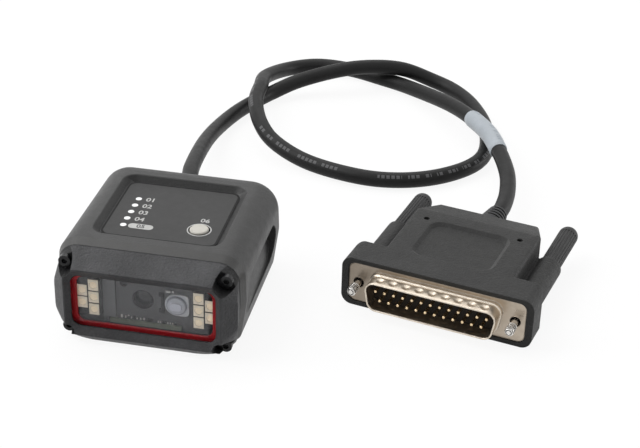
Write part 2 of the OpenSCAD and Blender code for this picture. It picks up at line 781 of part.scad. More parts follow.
// The whole hood, before it is parted into two halves
module hood_form() {
  edge = 1.2;
  difference() {
    union() {
      difference() {
        hull() {
          for (x = [-1, 1], y = [4, slope_y], z = [-1, 1])
            translate([x * (hood_w / 2 - edge), y, z * (hood_h / 2 - edge)]) sphere(edge, $fn = 32);
          for (x = [-1, 1], z = [-1, 1])
            translate([x * (tail_w / 2 - edge), hood_l - edge, z * (tail_h / 2 - edge)]) sphere(edge, $fn = 32);
        }
        translate([-hood_w / 2 + hood_wall, 0, -hood_h / 2 + hood_wall])
          cube([hood_w - 2 * hood_wall, slope_y - 1, hood_h - 2 * hood_wall]);
        translate([-8, slope_y - 2, -4]) cube([16, hood_l - slope_y - 1, 8]);
      }
      intersection() {
        back_from(rim_front, rim_back - rim_front) round_box(rim_w, hood_h, 3.2);
        translate([0, rim_back - 10, -hood_h / 2]) linear_extrude(hood_h) round_box(rim_w, 20, 3);
      }
      for (s = [-1, 1]) {
        rod(s * jack_pitch / 2, rim_back - 2, 0, collar_d / 2, collar_l - rim_back + 2);
        translate([s * (jack_pitch / 2 - 2.6) - 2.6, rim_back - 2, -2.6]) cube([5.2, collar_l - rim_back + 2, 5.2]);
        translate([s * hood_screw_x, hood_screw_y, -hood_h / 2 + 0.5]) cylinder(d = 4.6, h = hood_h - 1);
      }
    }
    back_from(rim_front - 1, plate_t + back_plate_t + seat - rim_front + 1)
      round_box(flange_w + 2 * loose, flange_h + 2 * loose, 2.4);
    back_from(0, slope_y - 6) round_box(hood_w - 2 * hood_wall, hood_h - 2 * hood_wall - 1.4, 2);
    back_from(0, plate_t + body_back + 0.4) d_outline(shell_t + 0.6 + loose);
    for (s = [-1, 1]) {
      rod(s * jack_pitch / 2, -1, 0, shank_d / 2 + run_fit, collar_l + 4);
      panel_recess(s);
    }
    rod(0, hood_l - 5, 0, boot_neck_r + seat, 10);
  }
}
// Fills the two posts back in after the hood is hollowed, and drills them
module hood_half(s) {
  at_plug() difference() {
    intersection() {
      union() {
        hood_form();
        for (x = [-1, 1]) translate([x * hood_screw_x, hood_screw_y, -hood_h / 2 + 1]) cylinder(d = 4.6, h = hood_h - 2);
      }
      translate([-60, -20, s > 0 ? 0 : -40]) cube([120, 120, 40]);
    }
    for (x = [-1, 1]) translate([x * hood_screw_x, hood_screw_y, 0]) {
      translate([0, 0, -hood_h]) cylinder(d = hood_screw_d + run_fit, h = 2 * hood_h);
      translate([0, 0, -hood_h]) cylinder(d = 3.8, h = hood_h - 4);
    }
  }
}
module hood_top() { color([0.28, 0.28, 0.28]) hood_half(1); }
module hood_bottom() { color([0.27, 0.27, 0.27]) hood_half(-1); }

module hood_screws() {
  color([0.45, 0.45, 0.46]) at_plug() for (x = [-1, 1]) translate([x * hood_screw_x, hood_screw_y, -4]) difference() {
    union() {
      translate([0, 0, -1.3]) cylinder(d = 3.4, h = 1.3);
      translate([0, 0, -0.1]) cylinder(d = hood_screw_d, h = 8.5);
    }
    translate([-1.1, -0.25, -1.4]) cube([2.2, 0.5, 0.7]);
    translate([-0.25, -1.1, -1.4]) cube([0.5, 2.2, 0.7]);
  }
}

// Pressed shell: a flange with two holes and a dimpled shroud
module plug_shell() {
  color([0.74, 0.70, 0.62]) at_plug() difference() {
    union() {
      back_from(0, plate_t) round_box(flange_w, flange_h, 2);
      back_from(-shell_l, shell_l + plate_t) d_outline(shell_t);
      back_from(-step_l, step_l) d_outline(shell_t + 0.35);
    }
    back_from(-shell_l - 1, shell_l + 3) d_outline(0);
    for (k = [-4:4], s = [-1, 1])
      translate([k * dimple_pitch, -(shell_l + step_l) / 2, s * (shell_h / 2 + shell_t + dimple_r - dimple_deep)]) sphere(dimple_r);
    for (s = [-1, 1]) rod(s * jack_pitch / 2, -1, 0, jack_hole / 2, 3);
  }
}

module plug_back_shell() {
  color([0.70, 0.67, 0.60]) at_plug() difference() {
    union() {
      back_from(plate_t, back_plate_t) round_box(flange_w, flange_h, 2);
      back_from(plate_t, body_back - 0.4) d_outline(shell_t + 0.6);
    }
    back_from(0, 8) d_outline(0.6);
    for (s = [-1, 1]) rod(s * jack_pitch / 2, -1, 0, jack_hole / 2, 4);
  }
}

// Places of the pins: thirteen above, twelve below
module at_pins() {
  for (k = [0:24]) {
    upper = k < 13;
    x = upper ? (k - 6) * pin_pitch : (k - 18.5) * pin_pitch;
    translate([x, 0, (upper ? 0.5 : -0.5) * pin_rows]) children();
  }
}

module plug_insulator() {
  color([0.10, 0.10, 0.10]) at_plug() difference() {
    union() {
      back_from(-0.6, plate_t + 0.6) d_outline(-seat);
      back_from(plate_t, body_back) d_outline(0.6 - seat);
    }
    at_pins() rod(0, -2, 0, pin_d / 2 + seat, 12);
  }
}

module contact_pins() {
  color([0.80, 0.66, 0.36]) at_plug() at_pins() {
    rod(0, pin_d / 2 - pin_reach, 0, pin_d / 2, pin_reach + plate_t + body_back);
    translate([0, pin_d / 2 - pin_reach, 0]) sphere(d = pin_d);
    rod(0, plate_t + body_back, 0, 0.85, 3);
  }
}

// Threaded tip, thin neck through the flange, shank in the barrel, and a root inside the knob
module jackscrew(s) {
  color([0.78, 0.78, 0.77]) at_plug() translate([s * jack_pitch / 2, 0, 0]) rotate([-90, 0, 0]) rotate_extrude()
    polygon([[0, -jack_reach], [jack_d / 2 - 0.5, -jack_reach], [jack_d / 2, 0.6 - jack_reach],
      [jack_d / 2, -2.6], [neck_d / 2, -2.3], [neck_d / 2, 3], [shank_d / 2, 3.2],
      [shank_d / 2, knob_y + 5], [0, knob_y + 5]]);
}
module jackscrew_left() { jackscrew(-1); }
module jackscrew_right() { jackscrew(1); }

// Fluted knob with a rounded end
module thumb_knob(s) {
  r = knob_d / 2;
  color([0.26, 0.26, 0.26]) at_plug() translate([s * jack_pitch / 2, knob_y, 0]) rotate([-90, 0, 0]) difference() {
    union() {
      cylinder(r = r, h = knob_l - r);
      translate([0, 0, knob_l - r]) sphere(r);
    }
    translate([0, 0, -1]) cylinder(d = shank_d + 2 * seat, h = 6 + seat);
    for (k = [0:flute_count - 1]) rotate(360 * k / flute_count)
      translate([r + 0.05, 0, 1]) cylinder(r = 0.28, h = knob_l - r - 2);
  }
}
module thumb_knob_left() { thumb_knob(-1); }
module thumb_knob_right() { thumb_knob(1); }

// Tapered boot with open slots on both sides, trapped in the hood by its flange
module plug_boot() {
  color([0.24, 0.24, 0.24]) at_plug() rotate([-90, 0, 0]) difference() {
    rotate_extrude() polygon([
      [0, hood_l - 4.4], [3.9, hood_l - 4.4], [3.9, hood_l - 3], [boot_neck_r, hood_l - 3], [boot_neck_r, hood_l],
      [boot_r, hood_l], [boot_r, hood_l + 1.2], [boot_tip_r, boot_end], [0, boot_end]]);
    for (k = [0:3], s = [0, 1]) translate([0, 0, hood_l + 1.6 + k * slot_pitch]) rotate(s * 180 - 105)
      rotate_extrude(angle = 125) translate([cable_d / 2, 0]) square([3, 0.9]);
  }
}

housing();
front_bezel();
bezel_screws();
window_pane();
window_ring();
overlay_label();
status_light_pipe();
status_lamps();
status_board();
button_switch();
tune_button();
main_board();
cable_header();
board_screws();
mounting_inserts();
lamp_board_left();
lamp_board_right();
lamps_left();
lamps_right();
engine_frame();
imager_board();
image_sensor();
lens_barrel();
lens_glass();
aimer_lamp();
aimer_lens();
engine_screws();
cable_bushing();
cable();
cable_sleeve();
plug_boot();
hood_top();
hood_bottom();
hood_screws();
plug_shell();
plug_back_shell();
plug_insulator();
contact_pins();
jackscrew_left();
jackscrew_right();
thumb_knob_left();
thumb_knob_right();
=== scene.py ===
"""Looks of a fixed-mount barcode reader: finishes, lead, marks on its panel and parts behind its window."""
import math

import bpy
from mathutils import Matrix, Vector


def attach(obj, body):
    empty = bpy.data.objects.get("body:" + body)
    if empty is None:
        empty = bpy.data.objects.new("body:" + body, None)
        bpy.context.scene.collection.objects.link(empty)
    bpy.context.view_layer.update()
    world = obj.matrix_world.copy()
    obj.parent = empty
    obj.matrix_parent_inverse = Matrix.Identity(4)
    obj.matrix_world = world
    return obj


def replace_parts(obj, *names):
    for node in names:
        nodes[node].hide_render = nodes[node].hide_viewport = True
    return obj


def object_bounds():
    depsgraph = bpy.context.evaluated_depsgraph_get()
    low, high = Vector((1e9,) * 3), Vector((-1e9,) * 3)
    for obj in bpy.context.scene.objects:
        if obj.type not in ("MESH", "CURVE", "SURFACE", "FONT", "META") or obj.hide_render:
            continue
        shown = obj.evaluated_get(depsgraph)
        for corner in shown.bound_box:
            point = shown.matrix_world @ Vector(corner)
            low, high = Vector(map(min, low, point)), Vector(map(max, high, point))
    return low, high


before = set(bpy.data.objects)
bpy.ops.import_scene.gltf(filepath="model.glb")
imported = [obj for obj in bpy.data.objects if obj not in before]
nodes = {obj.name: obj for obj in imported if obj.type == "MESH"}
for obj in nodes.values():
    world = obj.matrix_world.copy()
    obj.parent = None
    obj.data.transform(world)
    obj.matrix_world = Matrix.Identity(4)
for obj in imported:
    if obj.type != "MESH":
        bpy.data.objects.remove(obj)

cad_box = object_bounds()
scene = bpy.context.scene
mm = 0.001

# Camera of the photograph: place in metres, angles in degrees, focal length in the photograph's pixels
camera_place = (0.11486, -0.38522, 0.25806)
camera_azimuth, camera_rise, camera_roll = 10.52, 30.15, 1.65
photo_width, photo_focal = 640, 1637.6
film_width = 36

# Panel on the reader's top, as in the solids; this list of sizes is in millimetres
housing_top = 28.0
label_top = 26.5
label_y = 2.6
label_half = (16.7, 15.5)
label_radius = 2.8
recess_half = (18.6, 17.4)
light_x, light_y = -11.4, 0.9
light_pitch, light_count = 3.77, 5
button_x, button_y = 10.0, -4.6

# Print on the panel, and how high each layer of it lies over the panel
number_gap, number_high = 3.6, 2.0
number_thick, number_bold = 0.01, 0.05
button_number_at, button_number_high = (0.4, 5.2), 1.9
field_x, field_radius, field_stretch = -6.35, 1.3, 2.3
field_thick, field_lift = 0.04, 0.01
field_number_high, field_number_lift = 1.7, 0.03
ring_radius, ring_width = 3.46, 0.32
ring_thick, ring_lift = 0.03, 0.02
capital_share = 0.7

# Mouth, bezel and side recesses of the reader
mouth_y = -20.75
rim_length = 3.0
well_places = ((22.5, 2.4), (22.75, 23.3))
well_radius = 2.98
recess_floor = 23.25
recess_y = (-16.6, 18.6)
recess_z = (6.9, 19.3)
recess_rise, recess_fore = 1.7, 1.1
foot_flat, foot_run, foot_fore = 14.0, 6.2, 1.0
foot_rise, foot_fall, foot_reach = 0.9, 0.33, 1.8
foot_cuts = (14.5, 16.0, 17.2, 18.2, 19.0)

# Optics behind the window
frame_face = -22.32
optic_z = 12.8
lamp_face = -24.32
lamp_x, lamp_step, lamp_pitch = 14.9, 3.3, 3.9
die_radius, die_thick, die_edge = 1.07, 0.16, 0.05
aimer_x, aimer_half = 8.4, 3.4
aimer_tile = (1.6, 1.2)
aimer_ring, aimer_rim = (0.9, 0.5), 0.25
# Extent of the painted reflection on the window pane
veil_half, veil_foot = (18.3, 7.4), 6.4
strip_x = (-12.9, -9.3)

# Plug: where its flange stands, how it is turned, the end of its boot and the recess in its hood
plug_place = Vector((76.5, 3.5, 7.75))
plug_turn = math.radians(-12.4)
boot_end, boot_lead_in = 55, 5.5
hood_recess_y = 20.0
hood_recess_half = (12.5, 10.5)
hood_recess_radius, hood_recess_run = 4.0, 1.2

# Thumbscrews: radius, start, end and softened edge of each turned length, and the thread on the tip
jack_x = 23.52
jack_tip = (1.23, -6.06, -2.4, 0.6)
jack_neck = (1.0, -2.6, 3.4, 0.05)
jack_shank = (1.6, 3.1, 36.8, 0.15)
thread_crest, thread_sunk = 1.35, 0.15
thread_start, thread_pitch, thread_turns = -5.9, 0.6, 5
thread_flank, thread_land = 0.2, 0.1

# Lead: the sleeve's span counts the points of the route
jacket_radius, jacket_sides, jacket_steps = 2.6, 24, 8
sleeve_radius, sleeve_sides, sleeve_steps = 3.0, 28, 28
sleeve_lip, sleeve_span = 0.22, (33.5, 35.0)

# Mouldings: facets that meet at less than these angles are blended, and points this close are welded
moulding_angle, housing_angle = 28, 17.5
weld_gap, least_edge = 0.002, 0.001


def make_camera():
    """Stands where the photograph was taken from."""
    azimuth, rise, roll = (math.radians(angle) for angle in (camera_azimuth, camera_rise, camera_roll))
    flat = Vector((math.sin(azimuth), -math.cos(azimuth), 0))
    back = flat * math.cos(rise) + Vector((0, 0, math.sin(rise)))
    right = Vector((math.cos(azimuth), math.sin(azimuth), 0))
    up = back.cross(right)
    cosine, sine = math.cos(roll), math.sin(roll)
    turn = Matrix((cosine * right + sine * up, cosine * up - sine * right, back)).transposed()
    lens = bpy.data.cameras.new("camera")
    lens.sensor_fit = "HORIZONTAL"
    lens.sensor_width = film_width
    lens.lens = film_width * photo_focal / photo_width
    lens.clip_start = 0.01
    camera = bpy.data.objects.new("camera", lens)
    scene.collection.objects.link(camera)
    camera.matrix_world = Matrix.Translation(camera_place) @ turn.to_4x4()
    scene.camera = camera


# Small tools

def deselect():
    """Leaves nothing selected, so that an operator acts only on what comes next."""
    if bpy.context.object and bpy.context.object.mode != "OBJECT":
        bpy.ops.object.mode_set(mode="OBJECT")
    bpy.ops.object.select_all(action="DESELECT")


def take(piece):
    """Selects one piece and makes it the active one."""
    deselect()
    piece.select_set(True)
    bpy.context.view_layer.objects.active = piece


def open_mesh():
    """Starts editing the active piece with all of it selected."""
    bpy.ops.object.mode_set(mode="EDIT")
    bpy.ops.mesh.select_all(action="SELECT")


def close_mesh():
    """Ends the editing of the active piece."""
    bpy.ops.object.mode_set(mode="OBJECT")


def apply_modifiers(piece):
    """Turns a piece's modifiers into mesh."""
    take(piece)
    for modifier in list(piece.modifiers):
        bpy.ops.object.modifier_apply(modifier=modifier.name)


def soften(edge):
    """Bevels every edge of the active piece."""
    open_mesh()
    bpy.ops.mesh.bevel(offset=edge * mm, segments=2)
    close_mesh()


def face_outward():
    """Turns all faces of the mesh being edited outward."""
    bpy.ops.mesh.select_all(action="SELECT")
    bpy.ops.mesh.normals_make_consistent(inside=False)


def join(parts):
    """Makes one piece of several."""
    deselect()
    for part in parts:
        part.select_set(True)
    bpy.context.view_layer.objects.active = parts[0]
    bpy.ops.object.join()
    return bpy.context.object


def settle(piece, name, finish, body="reader", angle=35):
    """Names a piece, puts its place in its mesh, gives it its finish and ties it to its body."""
    take(piece)
    bpy.ops.object.transform_apply(location=True, rotation=True, scale=True)
    piece.name = piece.data.name = name
    bpy.ops.object.shade_smooth_by_angle(angle=math.radians(angle))
    piece.data.materials.clear()
    piece.data.materials.append(finish)
    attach(piece, body)
    return piece


# Shared effects

def new_group(name, inputs, outputs):
    """A shader node group with its sockets; an input is (name, default), an output (name, type)."""
    group = bpy.data.node_groups.new(name, "ShaderNodeTree")
    for label, value in inputs:
        socket = group.interface.new_socket(label, in_out="INPUT", socket_type="NodeSocketFloat")
        socket.default_value = value
    for label, kind in outputs:
        group.interface.new_socket(label, in_out="OUTPUT", socket_type="NodeSocket" + kind)
    return group, group.nodes.new("NodeGroupInput"), group.nodes.new("NodeGroupOutput")


def add(tree, kind, ins=None, **values):
    """Adds a node and sets its properties and, by name or number, its sockets."""
    node = tree.nodes.new("ShaderNode" + kind)
    for label, value in values.items():
        setattr(node, label, value)
    for label, value in (ins or {}).items():
        node.inputs[label].default_value = value
    return node


def grain_group():
    """Moulded plastic: a fine spark-etched grain, with slow changes of shade and gloss."""
    group, given, result = new_group("moulded_grain", [("Grain", 3000.0), ("Mottle", 60.0)],
                                     [("Height", "Float"), ("Shade", "Float"), ("Gloss", "Float")])
    link = group.links.new
    place = add(group, "TexCoord")
    fine = add(group, "TexNoise", ins={"Detail": 3.0, "Roughness": 0.6})
    slow = add(group, "TexNoise", ins={"Detail": 4.0, "Roughness": 0.55})
    rub = add(group, "TexNoise", ins={"Detail": 5.0, "Roughness": 0.7, "Scale": 420.0})
    both = add(group, "Mix", data_type="FLOAT", ins={0: 0.35})
    for noise in (fine, slow, rub):
        link(place.outputs["Object"], noise.inputs["Vector"])
    link(given.outputs["Grain"], fine.inputs["Scale"])
    link(given.outputs["Mottle"], slow.inputs["Scale"])
    link(slow.outputs["Fac"], both.inputs[2])
    link(fine.outputs["Fac"], both.inputs[3])
    link(fine.outputs["Fac"], result.inputs["Height"])
    link(both.outputs[0], result.inputs["Shade"])
    link(rub.outputs["Fac"], result.inputs["Gloss"])
    return group


def edge_group():
    """Rounds edges in the shading, and gives a mask of the edges for wear and painted edge highlights."""
    group, given, result = new_group("soft_edges", [("Radius", 0.0003)],
                                     [("Normal", "Vector"), ("Edge", "Float")])
    link = group.links.new
    bevel = add(group, "Bevel", samples=4)
    plain = add(group, "NewGeometry")
    dot = add(group, "VectorMath", operation="DOT_PRODUCT")
    span = add(group, "MapRange", ins={"From Min": 0.995, "From Max": 0.80, "To Min": 0.0, "To Max": 1.0})
    link(given.outputs["Radius"], bevel.inputs["Radius"])
    link(bevel.outputs["Normal"], dot.inputs[0])
    link(plain.outputs["Normal"], dot.inputs[1])
    link(dot.outputs["Value"], span.inputs["Value"])
    link(bevel.outputs["Normal"], result.inputs["Normal"])
    link(span.outputs["Result"], result.inputs["Edge"])
    return group


def streak_group():
    """Plated metal: fine drawn streaks and slow staining."""
    group, given, result = new_group("drawn_metal", [("Streaks", 900.0), ("Stain", 150.0)],
                                     [("Height", "Float"), ("Shade", "Float"), ("Gloss", "Float")])
    link = group.links.new
    place = add(group, "TexCoord")
    long = add(group, "Mapping", ins={"Scale": (0.08, 1.0, 1.0), "Rotation": (0.0, 0.0, plug_turn)})
    fine = add(group, "TexNoise", ins={"Detail": 4.0})
    slow = add(group, "TexNoise", ins={"Detail": 5.0, "Roughness": 0.65})
    link(place.outputs["Object"], long.inputs["Vector"])
    link(long.outputs["Vector"], fine.inputs["Vector"])
    link(place.outputs["Object"], slow.inputs["Vector"])
    link(given.outputs["Streaks"], fine.inputs["Scale"])
    link(given.outputs["Stain"], slow.inputs["Scale"])
    link(fine.outputs["Fac"], result.inputs["Height"])
    link(slow.outputs["Fac"], result.inputs["Shade"])
    link(fine.outputs["Fac"], result.inputs["Gloss"])
    return group


moulded_grain = grain_group()
soft_edges = edge_group()
drawn_metal = streak_group()
noise_span = {"From Min": 0.3, "From Max": 0.7}
# Share of the edge colour, which is partly wear and partly a painted highlight
edge_wear_and_highlight_share = 0.5


def calc(tree, operation, first, second=0.0):
    """One sum in a material; each side is a number or a socket."""
    node = add(tree, "Math", operation=operation)
    for socket, side in zip(node.inputs, (first, second)):
        if isinstance(side, (int, float)):
            socket.default_value = side
        else:
            tree.links.new(side, socket)
    return node.outputs[0]


def mixed(tree, share, under, over):
    """A colour between two others, each a colour or a socket; the share of the second is a socket."""
    mix = add(tree, "Mix", data_type="RGBA")
    share_in, under_in, over_in, colour_out = mix.inputs[0], mix.inputs[6], mix.inputs[7], mix.outputs[2]
    for socket, side in ((under_in, under), (over_in, over)):
        if isinstance(side, tuple):
            socket.default_value = (*side, 1)
        else:
            tree.links.new(side, socket)
    tree.links.new(share, share_in)
    return colour_out


def surface(name, low, high, rough, group=moulded_grain, scales=(), edge=None, radius=0.0003, bump=0.12,
            depth=0.00008, **settings):
    """A finish whose colour runs between two shades and whose roughness runs over a span.

    scales are those of the group's two textures, edge is the colour of the edges, which is partly wear and
    partly a painted highlight, and the radius of the edges and the depth of the bumps are in metres."""
    finish = bpy.data.materials.new(name)
    finish.use_nodes = True
    tree = finish.node_tree
    link = tree.links.new
    shader = tree.nodes["Principled BSDF"]
    for label, value in settings.items():
        shader.inputs[label.replace("_", " ")].default_value = value
    texture = add(tree, "Group", node_tree=group)
    for socket, scale in zip(texture.inputs, scales):
        socket.default_value = scale
    spread = add(tree, "MapRange", ins=noise_span)
    link(texture.outputs["Shade"], spread.inputs["Value"])
    colour = mixed(tree, spread.outputs["Result"], low, high)
    gloss = add(tree, "MapRange", ins={**noise_span, "To Min": rough[0], "To Max": rough[1]})
    link(texture.outputs["Gloss"], gloss.inputs["Value"])
    link(gloss.outputs["Result"], shader.inputs["Roughness"])
    lift = add(tree, "Bump", ins={"Strength": bump, "Distance": depth})
    link(texture.outputs["Height"], lift.inputs["Height"])
    if radius:
        edges = add(tree, "Group", node_tree=soft_edges, ins={"Radius": radius})
        link(edges.outputs["Normal"], lift.inputs["Normal"])
    # Edge colour: partly wear, partly a painted highlight along the edges.
    if radius and edge:
        colour = mixed(tree, calc(tree, "MULTIPLY", edges.outputs["Edge"], edge_wear_and_highlight_share), colour, edge)
    link(colour, shader.inputs["Base Color"])
    link(lift.outputs["Normal"], shader.inputs["Normal"])
    return finish


# Masks in a material

def product(tree, total, *factors):
    """Several numbers or sockets multiplied."""
    for factor in factors:
        total = calc(tree, "MULTIPLY", total, factor)
    return total


def distance(tree, first, second):
    """How far a point lies from the origin of two coordinates."""
    squares = calc(tree, "ADD", product(tree, first, first), product(tree, second, second))
    return calc(tree, "SQRT", squares)


def between(tree, value, low, high):
    """A mask that is 1 where a value lies between two others."""
    return product(tree, calc(tree, "GREATER_THAN", value, low), calc(tree, "LESS_THAN", value, high))


def away_from(tree, value, middle):
    """How far a value lies from another."""
    return calc(tree, "ABSOLUTE", calc(tree, "SUBTRACT", value, middle))


def place_mm(tree):
    """The object's own coordinates in millimetres."""
    split = add(tree, "SeparateXYZ")
    grow = add(tree, "VectorMath", operation="SCALE", ins={"Scale": 1 / mm})
    tree.links.new(add(tree, "TexCoord").outputs["Object"], grow.inputs[0])
    tree.links.new(grow.outputs["Vector"], split.inputs[0])
    return split.outputs


def plug_mm(tree):
    """Coordinates across and along the plug, in millimetres from the middle of its flange."""
    x, y, _ = place_mm(tree)
    x = calc(tree, "SUBTRACT", x, plug_place.x)
    y = calc(tree, "SUBTRACT", y, plug_place.y)
    cosine, sine = math.cos(plug_turn), math.sin(plug_turn)
    across = calc(tree, "ADD", product(tree, x, cosine), product(tree, y, sine))
    along = calc(tree, "SUBTRACT", product(tree, y, cosine), product(tree, x, sine))
    return across, along


def border_mask(tree, place, middle, half, radius, inset, width):
    """A line that follows a rounded rectangle at some distance inside it."""
    over = []
    for value, centre, reach in zip(place, middle, half):
        past_corner = calc(tree, "SUBTRACT", away_from(tree, value, centre), reach - radius)
        over.append(calc(tree, "MAXIMUM", past_corner, 0.0))
    outside = calc(tree, "SUBTRACT", distance(tree, *over), radius)
    return between(tree, outside, -inset - width, -inset)


def painted(finish, mask, colour, socket="Base Color"):
    """Lays a second colour over a finish where the mask is 1."""
    tree = finish.node_tree
    given = tree.nodes["Principled BSDF"].inputs[socket]
    under = given.links[0].from_socket if given.is_linked else tuple(given.default_value[:3])
    tree.links.new(mixed(tree, mask, under, colour), given)
    return finish


def grey(tone):
    """A colour without a hue."""
    return (tone, tone, tone)


# Finishes of the reader

satin = {"Specular_IOR_Level": 0.28}
matt = {"Specular_IOR_Level": 0.18}


def housing_finish():
    """Grey moulding with a painted highlight along its front rim and painted shade on the back and left
    walls of the panel's recess.
    """
    finish = surface("housing_grey", grey(0.034), grey(0.050), (0.36, 0.50), scales=(1900.0, 55.0),
                     edge=grey(0.095), radius=0.0004, bump=0.7, depth=0.00015, **satin)
    tree = finish.node_tree
    x, y, z = place_mm(tree)
    # Painted highlight: the chamfer along the front rim is paler.
    rim_gap, bright_rim_share = 0.15, 0.25
    rim = between(tree, y, mouth_y + rim_gap, mouth_y + rim_length)
    painted(finish, product(tree, rim, bright_rim_share), (0.110, 0.109, 0.106))
    # Painted shade on the back and left walls of the panel's recess.
    wall_foot, wall_head = label_top - 0.6, housing_top - 0.25
    back_shade_share, left_shade_share = 0.85, 0.5
    back = product(tree, between(tree, x, -recess_half[0], recess_half[0]),
                   between(tree, y, label_y + label_half[1], label_y + recess_half[1]))
    left = product(tree, between(tree, x, -recess_half[0], -label_half[0]),
                   between(tree, y, label_y - recess_half[1], label_y + recess_half[1]))
    walls = calc(tree, "MAXIMUM", product(tree, back, back_shade_share), product(tree, left, left_shade_share))
    return painted(finish, product(tree, walls, between(tree, z, wall_foot, wall_head)), grey(0.006))


def bezel_finish():
    """Grained grey moulding with painted shade in its screw wells."""
    finish = surface("bezel_grey", (0.038, 0.038, 0.040), (0.078, 0.078, 0.082), (0.38, 0.52),
                     scales=(1700.0, 90.0), edge=(0.090, 0.090, 0.094), radius=0.0004, bump=0.9,
                     depth=0.0005, Specular_IOR_Level=0.25)
    tree = finish.node_tree
    x, _, z = place_mm(tree)
    # Painted shade: each screw well is darkened round its screw.
    well_shade_share = 0.8
    for well_x, well_z in well_places:
        across = calc(tree, "SUBTRACT", calc(tree, "ABSOLUTE", x), well_x)
        over = calc(tree, "SUBTRACT", z, well_z)
        well_shade = calc(tree, "LESS_THAN", distance(tree, across, over), well_radius)
        painted(finish, product(tree, well_shade, well_shade_share), grey(0.004))
    return finish


def panel_finish():
    """The label's grey with a dark line just inside its outline."""
    finish = label_grey.copy()
    finish.name = "panel_grey"
    tree = finish.node_tree
    line_inset, line_width = 0.05, 0.6
    line = border_mask(tree, place_mm(tree), (0.0, label_y), label_half, label_radius,
                       line_inset, line_width)
    return painted(finish, line, grey(0.003))


def lamp_finish():
    """Cream lamp package with a painted glow on its face and painted shade on its sides."""
    # The glow is painted light that brightens the faces, which lie in the window's shade.
    finish = surface("lamp_cream", (0.80, 0.70, 0.54), (0.92, 0.84, 0.70), (0.45, 0.6),
                     scales=(3000.0, 650.0), edge=(0.30, 0.24, 0.17), radius=0.0002,
                     Emission_Color=(0.84, 0.74, 0.58, 1), Emission_Strength=0.17)
    tree = finish.node_tree
    # Painted shade: the package sides behind the face are darkened, with no glow.
    face_depth = 0.1
    sides = calc(tree, "GREATER_THAN", place_mm(tree)[1], lamp_face + face_depth)
    for socket in ("Base Color", "Emission Color"):
        painted(finish, sides, (0.03, 0.025, 0.02), socket)
    return finish


def engine_finish():
    """Grey plate with a paler upright strip on its left."""
    finish = surface("engine_grey", (0.115, 0.117, 0.122), (0.155, 0.157, 0.163), (0.42, 0.56),
                     scales=(3000.0, 200.0), edge=(0.21, 0.21, 0.22), radius=0.0002, **matt)
    tree = finish.node_tree
    return painted(finish, between(tree, place_mm(tree)[0], *strip_x), (0.215, 0.222, 0.230))


def aimer_finish():
    """Pale lens with a painted highlight on its rim and on the tile in the middle, and painted shade in a
    ring round its dome's foot.
    """
    # The lens's bright edge colour is a painted highlight.
    finish = surface("aimer_pale", (0.52, 0.55, 0.63), (0.66, 0.69, 0.77), (0.12, 0.22),
                     scales=(2000.0, 600.0), edge=(0.85, 0.87, 0.92), radius=0.0004, bump=0.04,
                     Coat_Weight=0.5)
    tree = finish.node_tree
    x, _, z = place_mm(tree)
    off = (away_from(tree, x, aimer_x), away_from(tree, z, optic_z))
    out = distance(tree, *off)
    ring_shade_share, bright_rim_share, tile_highlight_share = 0.7, 0.6, 0.7
    ring = between(tree, out, aimer_half - aimer_ring[0], aimer_half - aimer_ring[1])
    rim = between(tree, out, aimer_half - aimer_rim, 2 * aimer_half)
    tile = product(tree, *(calc(tree, "LESS_THAN", value, half) for value, half in zip(off, aimer_tile)))
    # Painted shade in the ring at the dome's foot; painted highlights on the rim and the middle tile.
    painted(finish, product(tree, ring, ring_shade_share), (0.22, 0.24, 0.29))
    painted(finish, product(tree, rim, bright_rim_share), (0.88, 0.90, 0.92))
    return painted(finish, product(tree, tile, tile_highlight_share), (0.80, 0.82, 0.95))


def pane_finish():
    """Thin clear pane with slow smears and a painted reflection: a faint pale veil that ends where the red
    ring begins.
    """
    finish = surface("clear_pane", (0.70, 0.71, 0.73), (0.86, 0.87, 0.90), (0.02, 0.06),
                     scales=(300.0, 70.0), radius=0, bump=0.0, Specular_IOR_Level=0.22)
    tree = finish.node_tree
    x, _, z = place_mm(tree)
    # Painted reflection: the pane is paler and less clear over the window's opening.
    clear_share, reflection_veil_share = 0.010, 0.074
    veil = product(tree, between(tree, x, -veil_half[0], veil_half[0]),
                   between(tree, z, veil_foot, veil_foot + 2 * veil_half[1]))
    share = calc(tree, "ADD", product(tree, veil, reflection_veil_share), clear_share)
    tree.links.new(share, tree.nodes["Principled BSDF"].inputs["Alpha"])
    return finish


housing_grey = housing_finish()
bezel_grey = bezel_finish()
label_grey = surface("label_grey", grey(0.047), grey(0.055), (0.50, 0.62), scales=(5200.0, 40.0),
                     radius=0.0001, bump=0.08, **matt)
panel_grey = panel_finish()
mark_grey = surface("mark_grey", (0.40, 0.40, 0.39), (0.50, 0.50, 0.49), (0.5, 0.6),
                    scales=(6000.0, 700.0), radius=0)
light_white = surface("light_white", (0.84, 0.85, 0.85), grey(0.93), (0.25, 0.35),
                      scales=(4000.0, 500.0), radius=0.0001, bump=0.05)
cap_grey = surface("cap_grey", (0.46, 0.44, 0.39), (0.54, 0.52, 0.47), (0.42, 0.55),
                   scales=(3800.0, 300.0), edge=(0.62, 0.60, 0.56), radius=0.00025)
# The screws' pale edge colour is a painted highlight round their heads.
screw_black = surface("screw_black", (0.003, 0.003, 0.004), (0.008, 0.008, 0.009), (0.16, 0.28),
                      scales=(2400.0, 500.0), edge=grey(0.10), radius=0.0002, Specular_IOR_Level=0.3)
ring_red = surface("ring_red", (0.40, 0.006, 0.012), (0.56, 0.010, 0.018), (0.30, 0.42),
                   scales=(2600.0, 220.0), radius=0.0003, **matt)
lamp_cream = lamp_finish()
